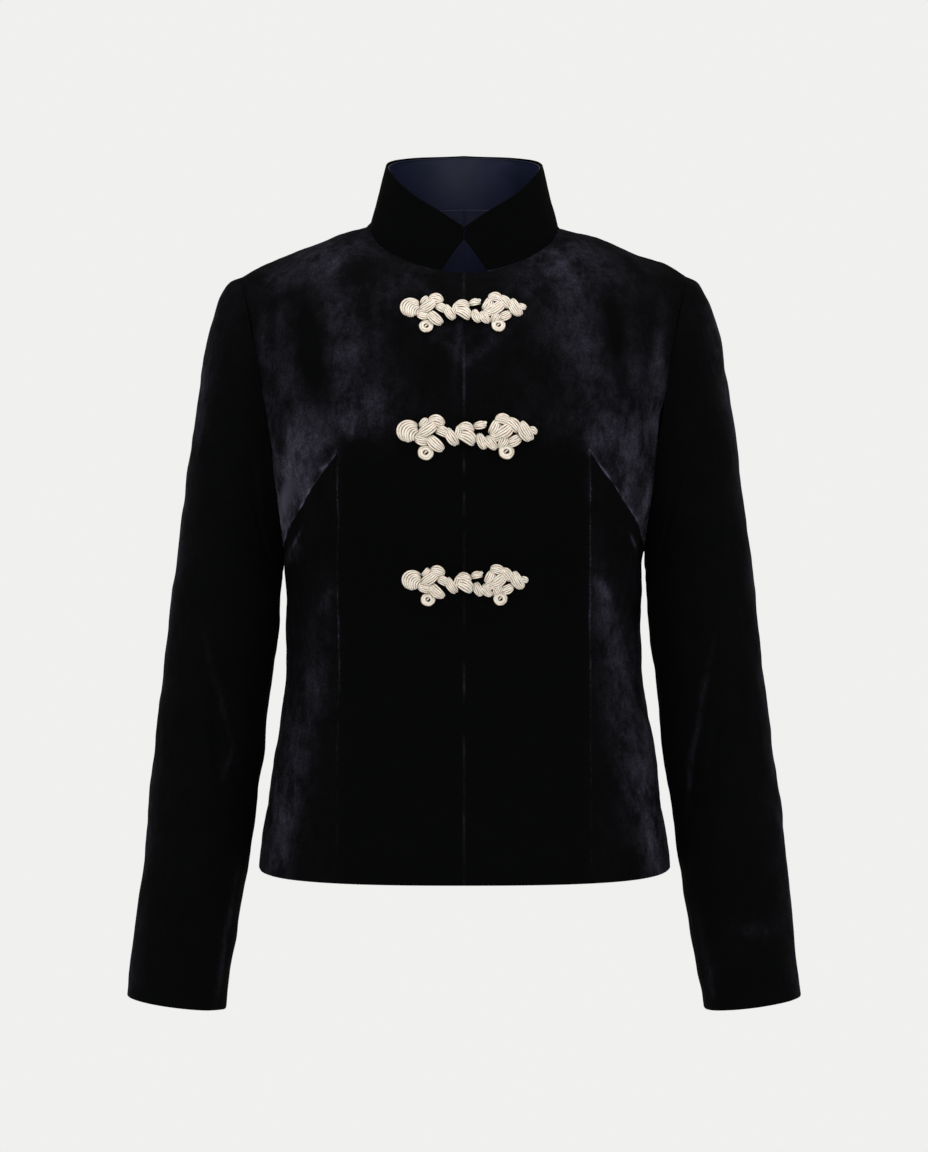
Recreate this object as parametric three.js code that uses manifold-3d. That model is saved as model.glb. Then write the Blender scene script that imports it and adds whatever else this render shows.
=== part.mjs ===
// A fitted velvet jacket with a stand collar, edge-to-edge fronts, set-in sleeves and three corded frog
// closures, filled out as it is worn. Millimetres, +Z up. The front faces -Y and the wearer's left is +X.
// The origin is between the two points where the shoulder seams meet the collar.
import * as THREE from "three";
import { mergeVertices } from "three/addons/utils/BufferGeometryUtils.js";
import Module from "manifold-3d";

const wasm = await Module();
wasm.setup();

// ---- Driving sizes ----
const GAP = 0.3; // between two pieces at a seam
const SHELL = 2; // velvet with its interlining
const COLLAR_SHELL = 1.5; // velvet of the collar
const SATIN = 1; // lining and collar facing
const SQUARENESS = 2.4; // exponent of the torso's rings, 2 being an ellipse
const QUARTER = Math.PI / 2;

const HEM = { centreFrontZ: -545, sideZ: -537, centreBackZ: -541 };
const UNDERARM_Z = -272;
const CHEST_Z = -180; // where the level rings end and the cloth turns in to the neck and shoulders
const TOP_LEVEL = -60; // level given to the neckline and shoulder seam
const PANEL_SEAM_X = 104; // the upright seam below the bust
const BUST_POINT_Z = -190; // where that seam meets the slanted one from the underarm

// Torso rings from the hem up: half the width at the side seams, and the depths at the centre lines.
const TORSO = [
  { z: -560, halfWidth: 177, front: 118, back: 114 },
  { z: -527, halfWidth: 173, front: 115, back: 110 },
  { z: -494, halfWidth: 168, front: 111, back: 106 },
  { z: -460, halfWidth: 163.3, front: 108, back: 101 },
  { z: -427, halfWidth: 158, front: 104.5, back: 96 },
  { z: -393, halfWidth: 153.2, front: 101.5, back: 91 },
  { z: -360, halfWidth: 150, front: 100, back: 88 },
  { z: -326, halfWidth: 149, front: 102, back: 88 },
  { z: -298, halfWidth: 149.6, front: 107, back: 90 },
  { z: -272, halfWidth: 151.5, front: 112.5, back: 93 },
  { z: -238, halfWidth: 158.6, front: 118, back: 97 },
  { z: -205, halfWidth: 165.8, front: 120, back: 99 },
  { z: -172, halfWidth: 173.4, front: 117.5, back: 99 },
  { z: -140, halfWidth: 181, front: 111, back: 97 },
];

// Neckline: an oval that slopes down to the front, with its sides lifted on to the shoulders.
const NECK = { halfWidth: 79, centreY: -6, halfDepth: 56, frontZ: -40, slope: 0.57, sideLift: 10.08 };

// Shoulder seam, from the collar out to the top of the sleeve.
const SHOULDER = [
  { share: 0, x: 79, y: -6, z: 2 },
  { share: 0.3, x: 109, y: -3, z: -6.4 },
  { share: 0.6, x: 144, y: 0, z: -19.4 },
  { share: 0.87, x: 175, y: 2, z: -31.5 },
  { share: 1, x: 188, y: 2, z: -39.5 },
];

// Armhole: upright oval whose front and back edges bow in towards the body.
const ARMHOLE = { topX: 188, topZ: -39.5, bottomX: 151.5, bow: 4.5, topY: 2 };

// Sleeve rings from the armhole to the cuff: the outer and inner ends of each ring, its half depth and centre.
const SLEEVE = [
  { along: 0, outerX: 188, outerZ: -39.5, innerX: 151.5, innerZ: -272, halfDepth: 49, y: 2 },
  { along: 0.03, outerX: 197.5, outerZ: -45.6, innerX: 151.7, innerZ: -275, halfDepth: 52, y: 2 },
  { along: 0.07, outerX: 205, outerZ: -56.5, innerX: 151.9, innerZ: -278, halfDepth: 55, y: 2 },
  { along: 0.12, outerX: 211.5, outerZ: -76, innerX: 152.1, innerZ: -281, halfDepth: 57.5, y: 2 },
  { along: 0.19, outerX: 218, outerZ: -105, innerX: 152.4, innerZ: -286, halfDepth: 59, y: 2 },
  { along: 0.28, outerX: 225.5, outerZ: -152, innerX: 152.8, innerZ: -294, halfDepth: 59.5, y: 1 },
  { along: 0.37, outerX: 234, outerZ: -212, innerX: 153.6, innerZ: -307, halfDepth: 58.5, y: 0 },
  { along: 0.47, outerX: 243.5, outerZ: -291, innerX: 156.2, innerZ: -338, halfDepth: 56, y: -2 },
  { along: 0.58, outerX: 252.5, outerZ: -368, innerX: 161.6, innerZ: -389, halfDepth: 53, y: -5 },
  { along: 0.7, outerX: 261, outerZ: -446, innerX: 169.8, innerZ: -459, halfDepth: 49.5, y: -11 },
  { along: 0.84, outerX: 270.6, outerZ: -537, innerX: 182.6, innerZ: -548, halfDepth: 45.5, y: -20 },
  { along: 1, outerX: 281.6, outerZ: -644, innerX: 200, innerZ: -655, halfDepth: 42, y: -31 },
];
// Seams of the two-piece sleeve: one just forward of its innermost line, one down the outer back of the arm.
const SLEEVE_SEAMS = { front: 0.87 * Math.PI, back: -0.3 * Math.PI };
const SLEEVE_SEAM_GAP = 0.004; // half a gap, in radians
const CAP_SHARE = 0.3; // stretch of the sleeve over which the armhole's own shape fades out

// Soft troughs pressed into a sleeve: along it, round it, their half sizes and depth.
const SLEEVE_FOLDS = [
  { along: 0.63, turn: 2.0, halfAlong: 0.03, halfTurn: 0.75, slant: 0.06, depth: 3.2 },
  { along: 0.7, turn: 2.25, halfAlong: 0.028, halfTurn: 0.7, slant: 0.07, depth: 2.6 },
  { along: 0.57, turn: -2.3, halfAlong: 0.03, halfTurn: 0.7, slant: -0.05, depth: 2.4 },
  { along: 0.3, turn: 2.35, halfAlong: 0.035, halfTurn: 0.6, slant: -0.08, depth: 2.8 },
  { along: 0.3, turn: -2.35, halfAlong: 0.035, halfTurn: 0.6, slant: 0.08, depth: 2.8 },
];

// Collar: top edge height by the angle from the centre front, in degrees, and its leaning-in oval.
const COLLAR = { topHalfWidth: 66, topCentreY: -7, topHalfDepth: 51 };
const COLLAR_END = { angle: 13.5, tipShare: 0.71, tipX: 0.3 };
const COLLAR_TOP = [
  { angle: 0, z: -2 },
  { angle: 20, z: 13 },
  { angle: 40, z: 26 },
  { angle: 65, z: 43.5 },
  { angle: 90, z: 55 },
  { angle: 135, z: 64.5 },
  { angle: 180, z: 68 },
];

// Frog closures down the front edge, each with its size against the middle one's.
const FROGS = [
  { name: "frog_top", z: -69, size: 0.9 },
  { name: "frog_middle", z: -176, size: 1 },
  { name: "frog_bottom", z: -295, size: 0.9 },
];

// Knotted lobes of the two halves of a closure. across and up are from its centre, angle is in degrees.
const BUTTON_LOBES = [
  { across: -46, up: 2.6, halfLength: 9.6, halfWidth: 8, angle: 60, height: 6.5 },
  { across: -32.5, up: 9.4, halfLength: 5, halfWidth: 4.2, angle: 35, height: 6 },
  { across: -23, up: 9.6, halfLength: 7, halfWidth: 5, angle: -10, height: 6.6 },
  { across: -29.5, up: 2.2, halfLength: 8.5, halfWidth: 5.4, angle: 35, height: 8 },
  { across: -36.5, up: -3.6, halfLength: 6.2, halfWidth: 5, angle: 8, height: 6 },
  { across: -18.5, up: 2.6, halfLength: 7.2, halfWidth: 5, angle: -42, height: 6.6 },
  { across: -22.5, up: -6.6, halfLength: 8.4, halfWidth: 5, angle: -43, height: 6.6 },
  { across: -29.5, up: -6.4, halfLength: 6, halfWidth: 4.6, angle: 70, height: 6.2 },
  { across: -12.4, up: -3.4, halfLength: 7, halfWidth: 4.4, angle: -50, height: 5.6 },
  { across: -5.8, up: -1.2, halfLength: 6.6, halfWidth: 4.2, angle: -55, height: 5.8 },
  { across: 2, up: 0.6, halfLength: 9, halfWidth: 7.4, angle: -38, height: 9.5 },
  { across: 9.6, up: 7, halfLength: 6.4, halfWidth: 3.8, angle: 40, height: 5.4 },
];
const LOOP_LOBES = [
  { across: 16, up: -5.4, halfLength: 5.8, halfWidth: 4.2, angle: -62, height: 5.4 },
  { across: 21.6, up: -5, halfLength: 6.6, halfWidth: 4.6, angle: -50, height: 5.6 },
  { across: 27.4, up: 4.6, halfLength: 6.4, halfWidth: 5.4, angle: 65, height: 6.4 },
  { across: 32.6, up: 11.2, halfLength: 6.2, halfWidth: 4.6, angle: -12, height: 6.2 },
  { across: 41, up: 7, halfLength: 6.4, halfWidth: 5, angle: -50, height: 6.4 },
  { across: 35, up: 1.6, halfLength: 8.6, halfWidth: 6, angle: 30, height: 8 },
  { across: 42.6, up: -5.2, halfLength: 5.6, halfWidth: 4.6, angle: 30, height: 6 },
  { across: 30, up: -6, halfLength: 6.2, halfWidth: 4.4, angle: 48, height: 6 },
  { across: 48.4, up: 1.8, halfLength: 8, halfWidth: 5.2, angle: -52, height: 6 },
  { across: 54.6, up: 1.6, halfLength: 5, halfWidth: 3.8, angle: -15, height: 5.2 },
];
const RING = { radius: 4.6, cord: 2.3, height: 2.4 };
const BUTTON_RING = { across: -31.2, up: -14.6 };
const LOOP_RING = { across: 34.6, up: -13.8 };

// ---- Helpers ----
const vec = (x, y, z) => new THREE.Vector3(x, y, z);
const mix = (a, b, t) => a + (b - a) * t;
const ease = (t) => t * t * (3 - 2 * t);

// A smooth curve through one column of a table, read at a value of its key column.
function read(table, key, at, column) {
  const last = table.length - 1;
  let i = 0;
  while (i < last - 1 && at > table[i + 1][key]) i++;
  const [a, b] = [table[i], table[i + 1]];
  const span = b[key] - a[key];
  const t = Math.min(Math.max((at - a[key]) / span, 0), 1);
  const before = table[Math.max(i - 1, 0)];
  const after = table[Math.min(i + 2, last)];
  const slopeA = ((b[column] - before[column]) / (b[key] - before[key])) * span;
  const slopeB = ((after[column] - a[column]) / (after[key] - a[key])) * span;
  const [t2, t3] = [t * t, t * t * t];
  return (
    (2 * t3 - 3 * t2 + 1) * a[column] +
    (t3 - 2 * t2 + t) * slopeA +
    (3 * t2 - 2 * t3) * b[column] +
    (t3 - t2) * slopeB
  );
}

// The outward normal of a surface point(u, v). facing is 1 or -1, by which way u and v run.
function normalAt(point, u, v, facing, step = 1e-3) {
  const du = point(u + step, v).sub(point(u - step, v));
  const dv = point(u, v + step * 10).sub(point(u, v - step * 10));
  return du.cross(dv).normalize().multiplyScalar(facing);
}

// A wall from a net of points and their inner partners. Each face lists four indices, seen from outside
// anticlockwise. Edges that only one face has are closed by a strip between the two nets.
function wall(outer, inner, faces) {
  const count = outer.length;
  const index = [];
  const edges = new Map();
  for (const [a, b, c, d] of faces) {
    index.push(a, b, c, a, c, d);
    index.push(a + count, c + count, b + count, a + count, d + count, c + count);
    const sides = [[a, b], [b, c], [c, d], [d, a]];
    for (const [from, to] of sides) {
      if (!edges.delete(`${to},${from}`)) edges.set(`${from},${to}`, [from, to]);
    }
  }
  for (const [from, to] of edges.values()) {
    index.push(from, from + count, to + count, from, to + count, to);
  }
  const positions = [...outer, ...inner].flatMap((p) => [p.x, p.y, p.z]);
  return new THREE.BufferGeometry()
    .setAttribute("position", new THREE.Float32BufferAttribute(positions, 3))
    .setIndex(index);
}

// A wall over rows of [u, v, lift], from the point and normal of each (u, v). lift parts it from a seam below.
// A row may be shorter than the one above it, where a piece is narrower.
function gridWall(rows, point, normal, thickness, inset = 0) {
  const samples = rows.flat().map(([u, v, lift = 0]) => {
    const at = point(u, v);
    at.z += lift;
    return [at, normal(u, v)];
  });
  const outer = samples.map(([p, n]) => p.clone().addScaledVector(n, -inset));
  const inner = samples.map(([p, n]) => p.clone().addScaledVector(n, -inset - thickness));
  const faces = [];
  let start = 0;
  for (const row of rows.slice(0, -1)) {
    for (let at = start; at + 1 < start + row.length; at++) {
      faces.push([at, at + 1, at + 1 + row.length, at + row.length]);
    }
    start += row.length;
  }
  return wall(outer, inner, faces);
}

// The same piece for the other side of the body.
function mirrored(geometry) {
  const other = geometry.clone();
  const position = other.getAttribute("position");
  for (let i = 0; i < position.count; i++) position.setX(i, -position.getX(i));
  const order = other.index.array;
  for (let i = 0; i < order.length; i += 3) [order[i + 1], order[i + 2]] = [order[i + 2], order[i + 1]];
  return other;
}

const steps = (from, to, count) => Array.from({ length: count + 1 }, (_, i) => mix(from, to, i / count));

// ---- The torso's surface ----
// Where the armhole crosses a height, seen from the front.
function armholeX(z) {
  const middleZ = (ARMHOLE.topZ + UNDERARM_Z) / 2;
  const up = (z - middleZ) / (ARMHOLE.topZ - middleZ);
  return mix(ARMHOLE.bottomX, ARMHOLE.topX, (up + 1) / 2) - ARMHOLE.bow * (1 - up * up);
}

// A level ring. around runs from the centre line, 0, to the side seam or armhole, 1. side is -1 for the front.
function ring(side, around, z) {
  const halfWidth = read(TORSO, "z", z, "halfWidth");
  const depth = read(TORSO, "z", z, side < 0 ? "front" : "back");
  const end = z > UNDERARM_Z ? Math.asin(Math.min(armholeX(z) / halfWidth, 1)) : QUARTER;
  const across = Math.sin(Math.min(around, 1) * end);
  return vec(halfWidth * across, side * depth * (1 - across ** SQUARENESS) ** (1 / SQUARENESS), z);
}

// The armhole's edge. turn is 0 at the shoulder seam and PI at the underarm.
const CHEST_TURN = Math.acos((2 * CHEST_Z - ARMHOLE.topZ - UNDERARM_Z) / (ARMHOLE.topZ - UNDERARM_Z));
function armholeEdge(side, turn) {
  const z = mix(UNDERARM_Z, ARMHOLE.topZ, (1 + Math.cos(turn)) / 2);
  if (turn >= CHEST_TURN) return ring(side, 1, z);
  const chestY = ring(side, 1, CHEST_Z).y;
  const out = Math.sin(turn) / Math.sin(CHEST_TURN);
  const topShare = 1 - ease(turn / CHEST_TURN);
  return vec(armholeX(z), chestY * out + ARMHOLE.topY * topShare, z);
}

// The neckline, by the angle from the centre front.
function neckline(angle) {
  const y = NECK.centreY - NECK.halfDepth * Math.cos(angle);
  const fromFront = y - (NECK.centreY - NECK.halfDepth);
  const z = NECK.frontZ + NECK.slope * fromFront + NECK.sideLift * Math.sin(angle) ** 2;
  return vec(NECK.halfWidth * Math.sin(angle), y, z);
}

function shoulderSeam(share) {
  return vec(...["x", "y", "z"].map((axis) => read(SHOULDER, "share", share, axis)));
}

// Above the chest the cloth runs in curves from the chest ring to the neckline or the shoulder seam.
const NECK_AROUND = 0.405; // where the neck point lies between the centre line and the armhole
// How the cloth arrives at the centre of the neckline and at the shoulder seam: inwards, and up.
const RISE = {
  front: { neck: [0.72, 0.69], shoulder: [0.95, 0.31] },
  back: { neck: [0.55, 0.83], shoulder: [0.9, 0.44] },
};
const FAN_TURN = 0.8; // at the neck point the cloth arrives from the side by this angle
const FAN_REACH = 0.4;
function yoke(side, around, share) {
  const start = ring(side, around, CHEST_Z);
  const below = ring(side, around, CHEST_Z - 1);
  const climb = start.clone().sub(below);
  const onNeck = around < NECK_AROUND;
  const neckAngle = QUARTER * (around / NECK_AROUND);
  const top = onNeck
    ? neckline(side < 0 ? neckAngle : Math.PI - neckAngle)
    : shoulderSeam((around - NECK_AROUND) / (1 - NECK_AROUND));
  top.y += (side * GAP) / 2;
  const rise = side < 0 ? RISE.front : RISE.back;
  const level = onNeck ? ease(around / NECK_AROUND) : 1;
  const [inwards, up] = [0, 1].map((i) => mix(rise.neck[i], rise.shoulder[i], level));
  const beyond = Math.min(Math.max((around - NECK_AROUND) / FAN_REACH, 0), 1);
  const fan = FAN_TURN * level * (1 - ease(beyond));
  const arrive = vec(-inwards * Math.sin(fan), -side * inwards * Math.cos(fan), up).normalize();
  const leaveLength = 0.42 * (top.z - start.z);
  const arriveLength = 0.36 * top.distanceTo(start);
  const curve = new THREE.CubicBezierCurve3(
    start,
    start.clone().addScaledVector(climb, leaveLength),
    top.clone().addScaledVector(arrive, -arriveLength),
    top,
  );
  return curve.getPoint(share);
}

// The same cloth with its creases softened sideways, most of all half way up.
const SOFTEN = 0.36;
const SOFTEN_WEIGHTS = [1, 2, 3, 2, 1];
function softYoke(side, around, share) {
  const reach = Math.min(SOFTEN * share * (1 - share), (1 - around) / 2);
  const point = vec(0, 0, 0);
  SOFTEN_WEIGHTS.forEach((weight, i) => {
    const at = around + (i - 2) * reach;
    const sample = yoke(side, Math.abs(at), share);
    if (at < 0) sample.x = -sample.x;
    point.addScaledVector(sample, weight / 9);
  });
  return point;
}

// The torso's outer surface. level is the height up to the chest, and runs on to TOP_LEVEL above it.
const EDGE_REACH = 5; // how quickly the armhole's pull on the yoke fades away from it
function torso(side, around, level) {
  let point;
  if (level <= CHEST_Z) {
    point = ring(side, around, level);
  } else {
    const share = Math.min((level - CHEST_Z) / (TOP_LEVEL - CHEST_Z), 1);
    point = softYoke(side, around, share);
    const pull = armholeEdge(side, CHEST_TURN * (1 - share)).sub(yoke(side, 1, share));
    point.addScaledVector(pull, around ** EDGE_REACH);
  }
  point.x = Math.max(point.x, GAP / 2);
  if (side * point.y < GAP / 2 && level <= CHEST_Z) point.y = (side * GAP) / 2;
  return point;
}

// The front's rows run away from the centre line, the back's rows towards it, so both face out.
function torsoNormal(side) {
  const inside = (around) => Math.min(Math.max(around, 0.004), 0.996);
  const within = (level) => Math.min(level, TOP_LEVEL - 0.02);
  const point = (around, level) => torso(side, around, level);
  return (around, level) => {
    const normal = normalAt(point, inside(around), within(level), side < 0 ? 1 : -1);
    if (around < 0.004) normal.setX(0).normalize();
    if (around > 0.996 && level <= UNDERARM_Z) normal.setY(0).normalize();
    if (level >= TOP_LEVEL && around >= NECK_AROUND) normal.setY(0).normalize();
    return normal;
  };
}

// How far round the front the upright panel seam lies at a height.
function panelSeamAround(z) {
  const halfWidth = read(TORSO, "z", z, "halfWidth");
  const end = z > UNDERARM_Z ? Math.asin(armholeX(z) / halfWidth) : QUARTER;
  return Math.asin(PANEL_SEAM_X / halfWidth) / end;
}
const BUST_AROUND = panelSeamAround(BUST_POINT_Z);

function hemLevel(side, around) {
  return mix(side < 0 ? HEM.centreFrontZ : HEM.centreBackZ, HEM.sideZ, around ** 3);
}

// The slanted seam from the bust point, share 0, to the underarm, share 1.
function slantLevel(share) {
  return mix(BUST_POINT_Z, UNDERARM_Z, share ** 0.85);
}

// ---- Pieces of the torso ----
const SEAM_AROUND = GAP / 2 / 170; // half a seam's gap, as a share of a quarter ring
const SIDE_STEPS = 4; // columns from the upright seam's line to the side seam
const NECK_COLUMNS = steps(0, NECK_AROUND, 8);
const SHOULDER_COLUMNS = steps(BUST_AROUND, 1, SIDE_STEPS);

// Front: from the hem to the neck and shoulder, narrow below the bust point and wide above the slanted seam.
function frontPanel() {
  const inner = [...NECK_COLUMNS, BUST_AROUND - SEAM_AROUND];
  const columns = [...inner, ...SHOULDER_COLUMNS.slice(1)];
  const lowerRows = steps(0, 1, 11).map((share) =>
    inner.map((column) => {
      const hemAround = (column / BUST_AROUND) * panelSeamAround(HEM.centreFrontZ);
      const level = mix(hemLevel(-1, hemAround), BUST_POINT_Z, share);
      return [(column / BUST_AROUND) * panelSeamAround(level), level];
    }),
  );
  const upperRows = steps(0, 1, 10).map((share) =>
    columns.map((column) => {
      const beyond = Math.max((column - BUST_AROUND) / (1 - BUST_AROUND), 0);
      const level = mix(slantLevel(beyond), TOP_LEVEL, mix(share, share * share, beyond));
      return [column, level, share === 0 && beyond > 0 ? GAP : 0];
    }),
  );
  const rows = [...lowerRows.slice(0, -1), ...upperRows];
  return gridWall(rows, (a, l) => torso(-1, a, l), torsoNormal(-1), SHELL);
}

// Side front: from the upright seam to the side seam, under the slanted seam.
function sideFrontPanel() {
  const rows = steps(0, 1, 11).map((share) =>
    steps(0, 1, SIDE_STEPS).map((across) => {
      const hem = mix(panelSeamAround(HEM.sideZ), 1, across);
      const level = mix(hemLevel(-1, hem), slantLevel(across), share);
      const seam = panelSeamAround(Math.min(level, BUST_POINT_Z));
      const start = across > 0 ? mix(seam, BUST_AROUND, share) : seam;
      return [mix(start + SEAM_AROUND, 1, across), level, share === 1 ? -GAP : 0];
    }),
  );
  return gridWall(rows, (a, l) => torso(-1, a, l), torsoNormal(-1), SHELL);
}

// Back: one half, from the centre seam to the side seam, armhole and shoulder. The lining half lies just
// inside it on the same net, and ends short of the hem, the side seam, the armhole and the shoulder.
const BACK_COLUMNS = [...steps(0, NECK_AROUND, 6), ...SHOULDER_COLUMNS].reverse();
const LINING_HEM_RISE = 22;
const BACK_UPPER_SHARES = [...steps(0, 0.9, 9), 0.97, 1]; // the lining ends one row below the last
function backRows(columns, hemRise) {
  const lower = steps(0, 1, 9).slice(0, -1).map((share) =>
    columns.map((around) => {
      const level = mix(hemLevel(1, around), UNDERARM_Z, share);
      return [around, share === 0 ? level + hemRise : level];
    }),
  );
  const upper = BACK_UPPER_SHARES.map((share) =>
    columns.map((around) => [around, mix(UNDERARM_Z, TOP_LEVEL, mix(share, share * share, around))]),
  );
  return [...lower, ...upper];
}

function backPanel() {
  const rows = backRows(BACK_COLUMNS, 0);
  return gridWall(rows, (a, l) => torso(1, a, l), torsoNormal(1), SHELL);
}

function backLining() {
  const rows = backRows(BACK_COLUMNS.slice(1), LINING_HEM_RISE).slice(0, -1);
  return gridWall(rows, (a, l) => torso(1, a, l), torsoNormal(1), SATIN, SHELL + 2 * GAP);
}

// ---- Sleeves ----
function sleeveRing(turn, along) {
  const [ox, oz, ix, iz, depth, y] = ["outerX", "outerZ", "innerX", "innerZ", "halfDepth", "y"].map((column) =>
    read(SLEEVE, "along", along, column),
  );
  const share = (1 - Math.cos(turn)) / 2;
  return vec(mix(ox, ix, share), y - depth * Math.sin(turn), mix(oz, iz, share));
}

// The sleeve's outer surface. turn is 0 on the outer line, PI / 2 at the front and PI at the underarm.
function sleeve(turn, along) {
  const point = sleeveRing(turn, along);
  const round = Math.abs(Math.atan2(Math.sin(turn), Math.cos(turn)));
  const side = Math.sin(turn) >= 0 ? -1 : 1;
  const seat = armholeEdge(side, round).sub(sleeveRing(turn, 0));
  const fade = Math.max(1 - along / CAP_SHARE, 0) ** 2;
  point.addScaledVector(seat, fade);
  point.x += 2 * GAP;
  return point.addScaledVector(sleeveOut(turn, along), -foldDepth(turn, along));
}

// Outwards in a sleeve's own ring, for pressing folds.
function sleeveOut(turn, along) {
  const middle = sleeveRing(0, along).add(sleeveRing(Math.PI, along)).multiplyScalar(0.5);
  return sleeveRing(turn, along).sub(middle).normalize();
}

function foldDepth(turn, along) {
  let depth = 0;
  for (const fold of SLEEVE_FOLDS) {
    const offset = Math.atan2(Math.sin(turn - fold.turn), Math.cos(turn - fold.turn));
    const across = (along - fold.along - fold.slant * offset) / fold.halfAlong;
    const length = offset / fold.halfTurn;
    depth += fold.depth * Math.exp(-across * across - length * length);
  }
  return depth;
}

function sleevePanel(from, to, columns) {
  const turns = steps(from + SLEEVE_SEAM_GAP, to - SLEEVE_SEAM_GAP, columns);
  const rows = steps(0, 1, 18).map((share) => {
    const along = share * mix(0.72, 1, share);
    return turns.map((turn) => [turn, along]);
  });
  const normal = (turn, along) => normalAt(sleeve, turn, Math.min(Math.max(along, 0.012), 0.988), 1, 1e-3);
  return gridWall(rows, sleeve, normal, SHELL);
}

// ---- Collar ----
function collarPoint(angle, up) {
  const round = Math.abs(angle);
  const base = neckline(round);
  const top = vec(
    COLLAR.topHalfWidth * Math.sin(round),
    COLLAR.topCentreY - COLLAR.topHalfDepth * Math.cos(round),
    read(COLLAR_TOP, "angle", THREE.MathUtils.radToDeg(round), "z"),
  );
  const point = base.lerp(top, up);
  point.z += 3 * GAP * (1 - up);
  return point;
}

// Where the collar's front end lies at a share of its height: slanted below, upright at the tip.
function collarEnd(up) {
  const slanted = THREE.MathUtils.degToRad(COLLAR_END.angle) * Math.max(1 - up / COLLAR_END.tipShare, 0);
  return slanted + COLLAR_END.tipX / NECK.halfWidth;
}

function collarWall(thickness, inset, trim) {
  const rows = [trim, COLLAR_END.tipShare / 2, COLLAR_END.tipShare, 1 - trim].map((up) =>
    steps(0, 1, 36).map((share) => {
      const end = collarEnd(up) + trim / 4;
      return [mix(end, 2 * Math.PI - end, share), up];
    }),
  );
  const point = (angle, up) => {
    const half = collarPoint(angle <= Math.PI ? angle : 2 * Math.PI - angle, up);
    if (angle > Math.PI) half.x = -half.x;
    return half;
  };
  const normal = (angle, up) => {
    const du = point(angle + 1e-3, up).sub(point(angle - 1e-3, up));
    const dv = point(angle, Math.min(up + 0.02, 1)).sub(point(angle, Math.max(up - 0.02, 0)));
    return du.cross(dv).normalize();
  };
  return gridWall(rows, point, normal, thickness, inset);
}

// ---- Frog closures ----
// The front's outer surface under a point seen from the front.
function frontY(x, z) {
  let around = Math.abs(x) / 170;
  let level = z <= CHEST_Z ? z : mix(CHEST_Z, TOP_LEVEL, (z - CHEST_Z) / (NECK.frontZ - CHEST_Z));
  for (let i = 0; i < 12; i++) {
    const here = torso(-1, around, level);
    const [dAround, dLevel] = [torso(-1, around + 1e-3, level), torso(-1, around, level + 0.01)];
    around += (1e-3 * (Math.abs(x) - here.x)) / Math.max(dAround.x - here.x, 1e-4);
    level += (0.01 * (z - here.z)) / Math.max(dLevel.z - here.z, 1e-4);
    around = Math.max(around, 0);
  }
  return torso(-1, around, level).y;
}

function solid(geometry) {
  const bare = geometry.clone();
  bare.deleteAttribute("normal");
  bare.deleteAttribute("uv");
  const merged = mergeVertices(bare, 1e-4);
  const vertProperties = merged.attributes.position.array;
  const triVerts = new Uint32Array(merged.index.array);
  return new wasm.Manifold(new wasm.Mesh({ numProp: 3, vertProperties, triVerts }));
}

// A lobe of packed cords: a long round body whose sides carry the ridges of its strands.
const RIDGE = 0.84; // a groove's radius against its ridge's
const LOBE_SIDES = 8;
const LOBE_RINGS = 4;
const LOBE_SINK = 0.6; // depth of a lobe that is cut away flat under the closure
function lobe({ across, up, halfLength, halfWidth, angle, height }) {
  const geometry = new THREE.SphereGeometry(1, LOBE_SIDES, LOBE_RINGS);
  const position = geometry.getAttribute("position");
  for (let i = 0; i < position.count; i++) {
    const column = i % (LOBE_SIDES + 1);
    if (column % 2) position.setXYZ(i, position.getX(i) * RIDGE, position.getY(i), position.getZ(i) * RIDGE);
  }
  geometry.rotateZ(-QUARTER);
  geometry.scale(halfLength, halfWidth, height / 2);
  geometry.rotateZ(THREE.MathUtils.degToRad(angle));
  geometry.translate(across, up, height / 2 - LOBE_SINK);
  return solid(geometry);
}

function cordRing({ across, up }) {
  const geometry = new THREE.TorusGeometry(RING.radius, RING.cord, 5, 8);
  geometry.translate(across, up, RING.height - LOBE_SINK);
  return solid(geometry);
}

// Half of a closure: its lobes joined, cut flat underneath and laid on the front's surface.
const FINEST = 0.35; // smaller steps than this are smoothed away
const UNDERCUT = 40; // a block this large takes away what lies under the flat
function frogHalf(lobes, ringPlace, frog) {
  let made = cordRing(ringPlace);
  for (const one of lobes) made = made.add(lobe(one));
  const under = new THREE.BoxGeometry(4 * UNDERCUT, 2 * UNDERCUT, UNDERCUT).translate(0, 0, -UNDERCUT / 2);
  made = made.subtract(solid(under)).simplify(FINEST);
  const mesh = made.getMesh();
  const positions = [];
  for (let i = 0; i < mesh.numVert; i++) {
    const [across, up, height] = mesh.vertProperties.subarray(i * mesh.numProp, i * mesh.numProp + 3);
    const x = across * frog.size;
    const z = frog.z + up * frog.size;
    positions.push(x, frontY(x, z) - GAP * 1.4 - height * frog.size, z);
  }
  // Laying (across, up, height) down as (x, z, -y) keeps the solid's handedness.
  return new THREE.BufferGeometry()
    .setAttribute("position", new THREE.Float32BufferAttribute(positions, 3))
    .setIndex([...mesh.triVerts]);
}

// ---- The jacket ----
const velvet = new THREE.MeshStandardMaterial({ color: 0x0d0c12, roughness: 0.85, metalness: 0 });
const satin = new THREE.MeshStandardMaterial({ color: 0x1c2143, roughness: 0.4, metalness: 0 });
const cord = new THREE.MeshStandardMaterial({ color: 0xe9e0cf, roughness: 0.6, metalness: 0 });

const jacket = new THREE.Group();
function add(name, geometry, material) {
  const mesh = new THREE.Mesh(geometry, material);
  mesh.name = name;
  jacket.add(mesh);
}

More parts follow.
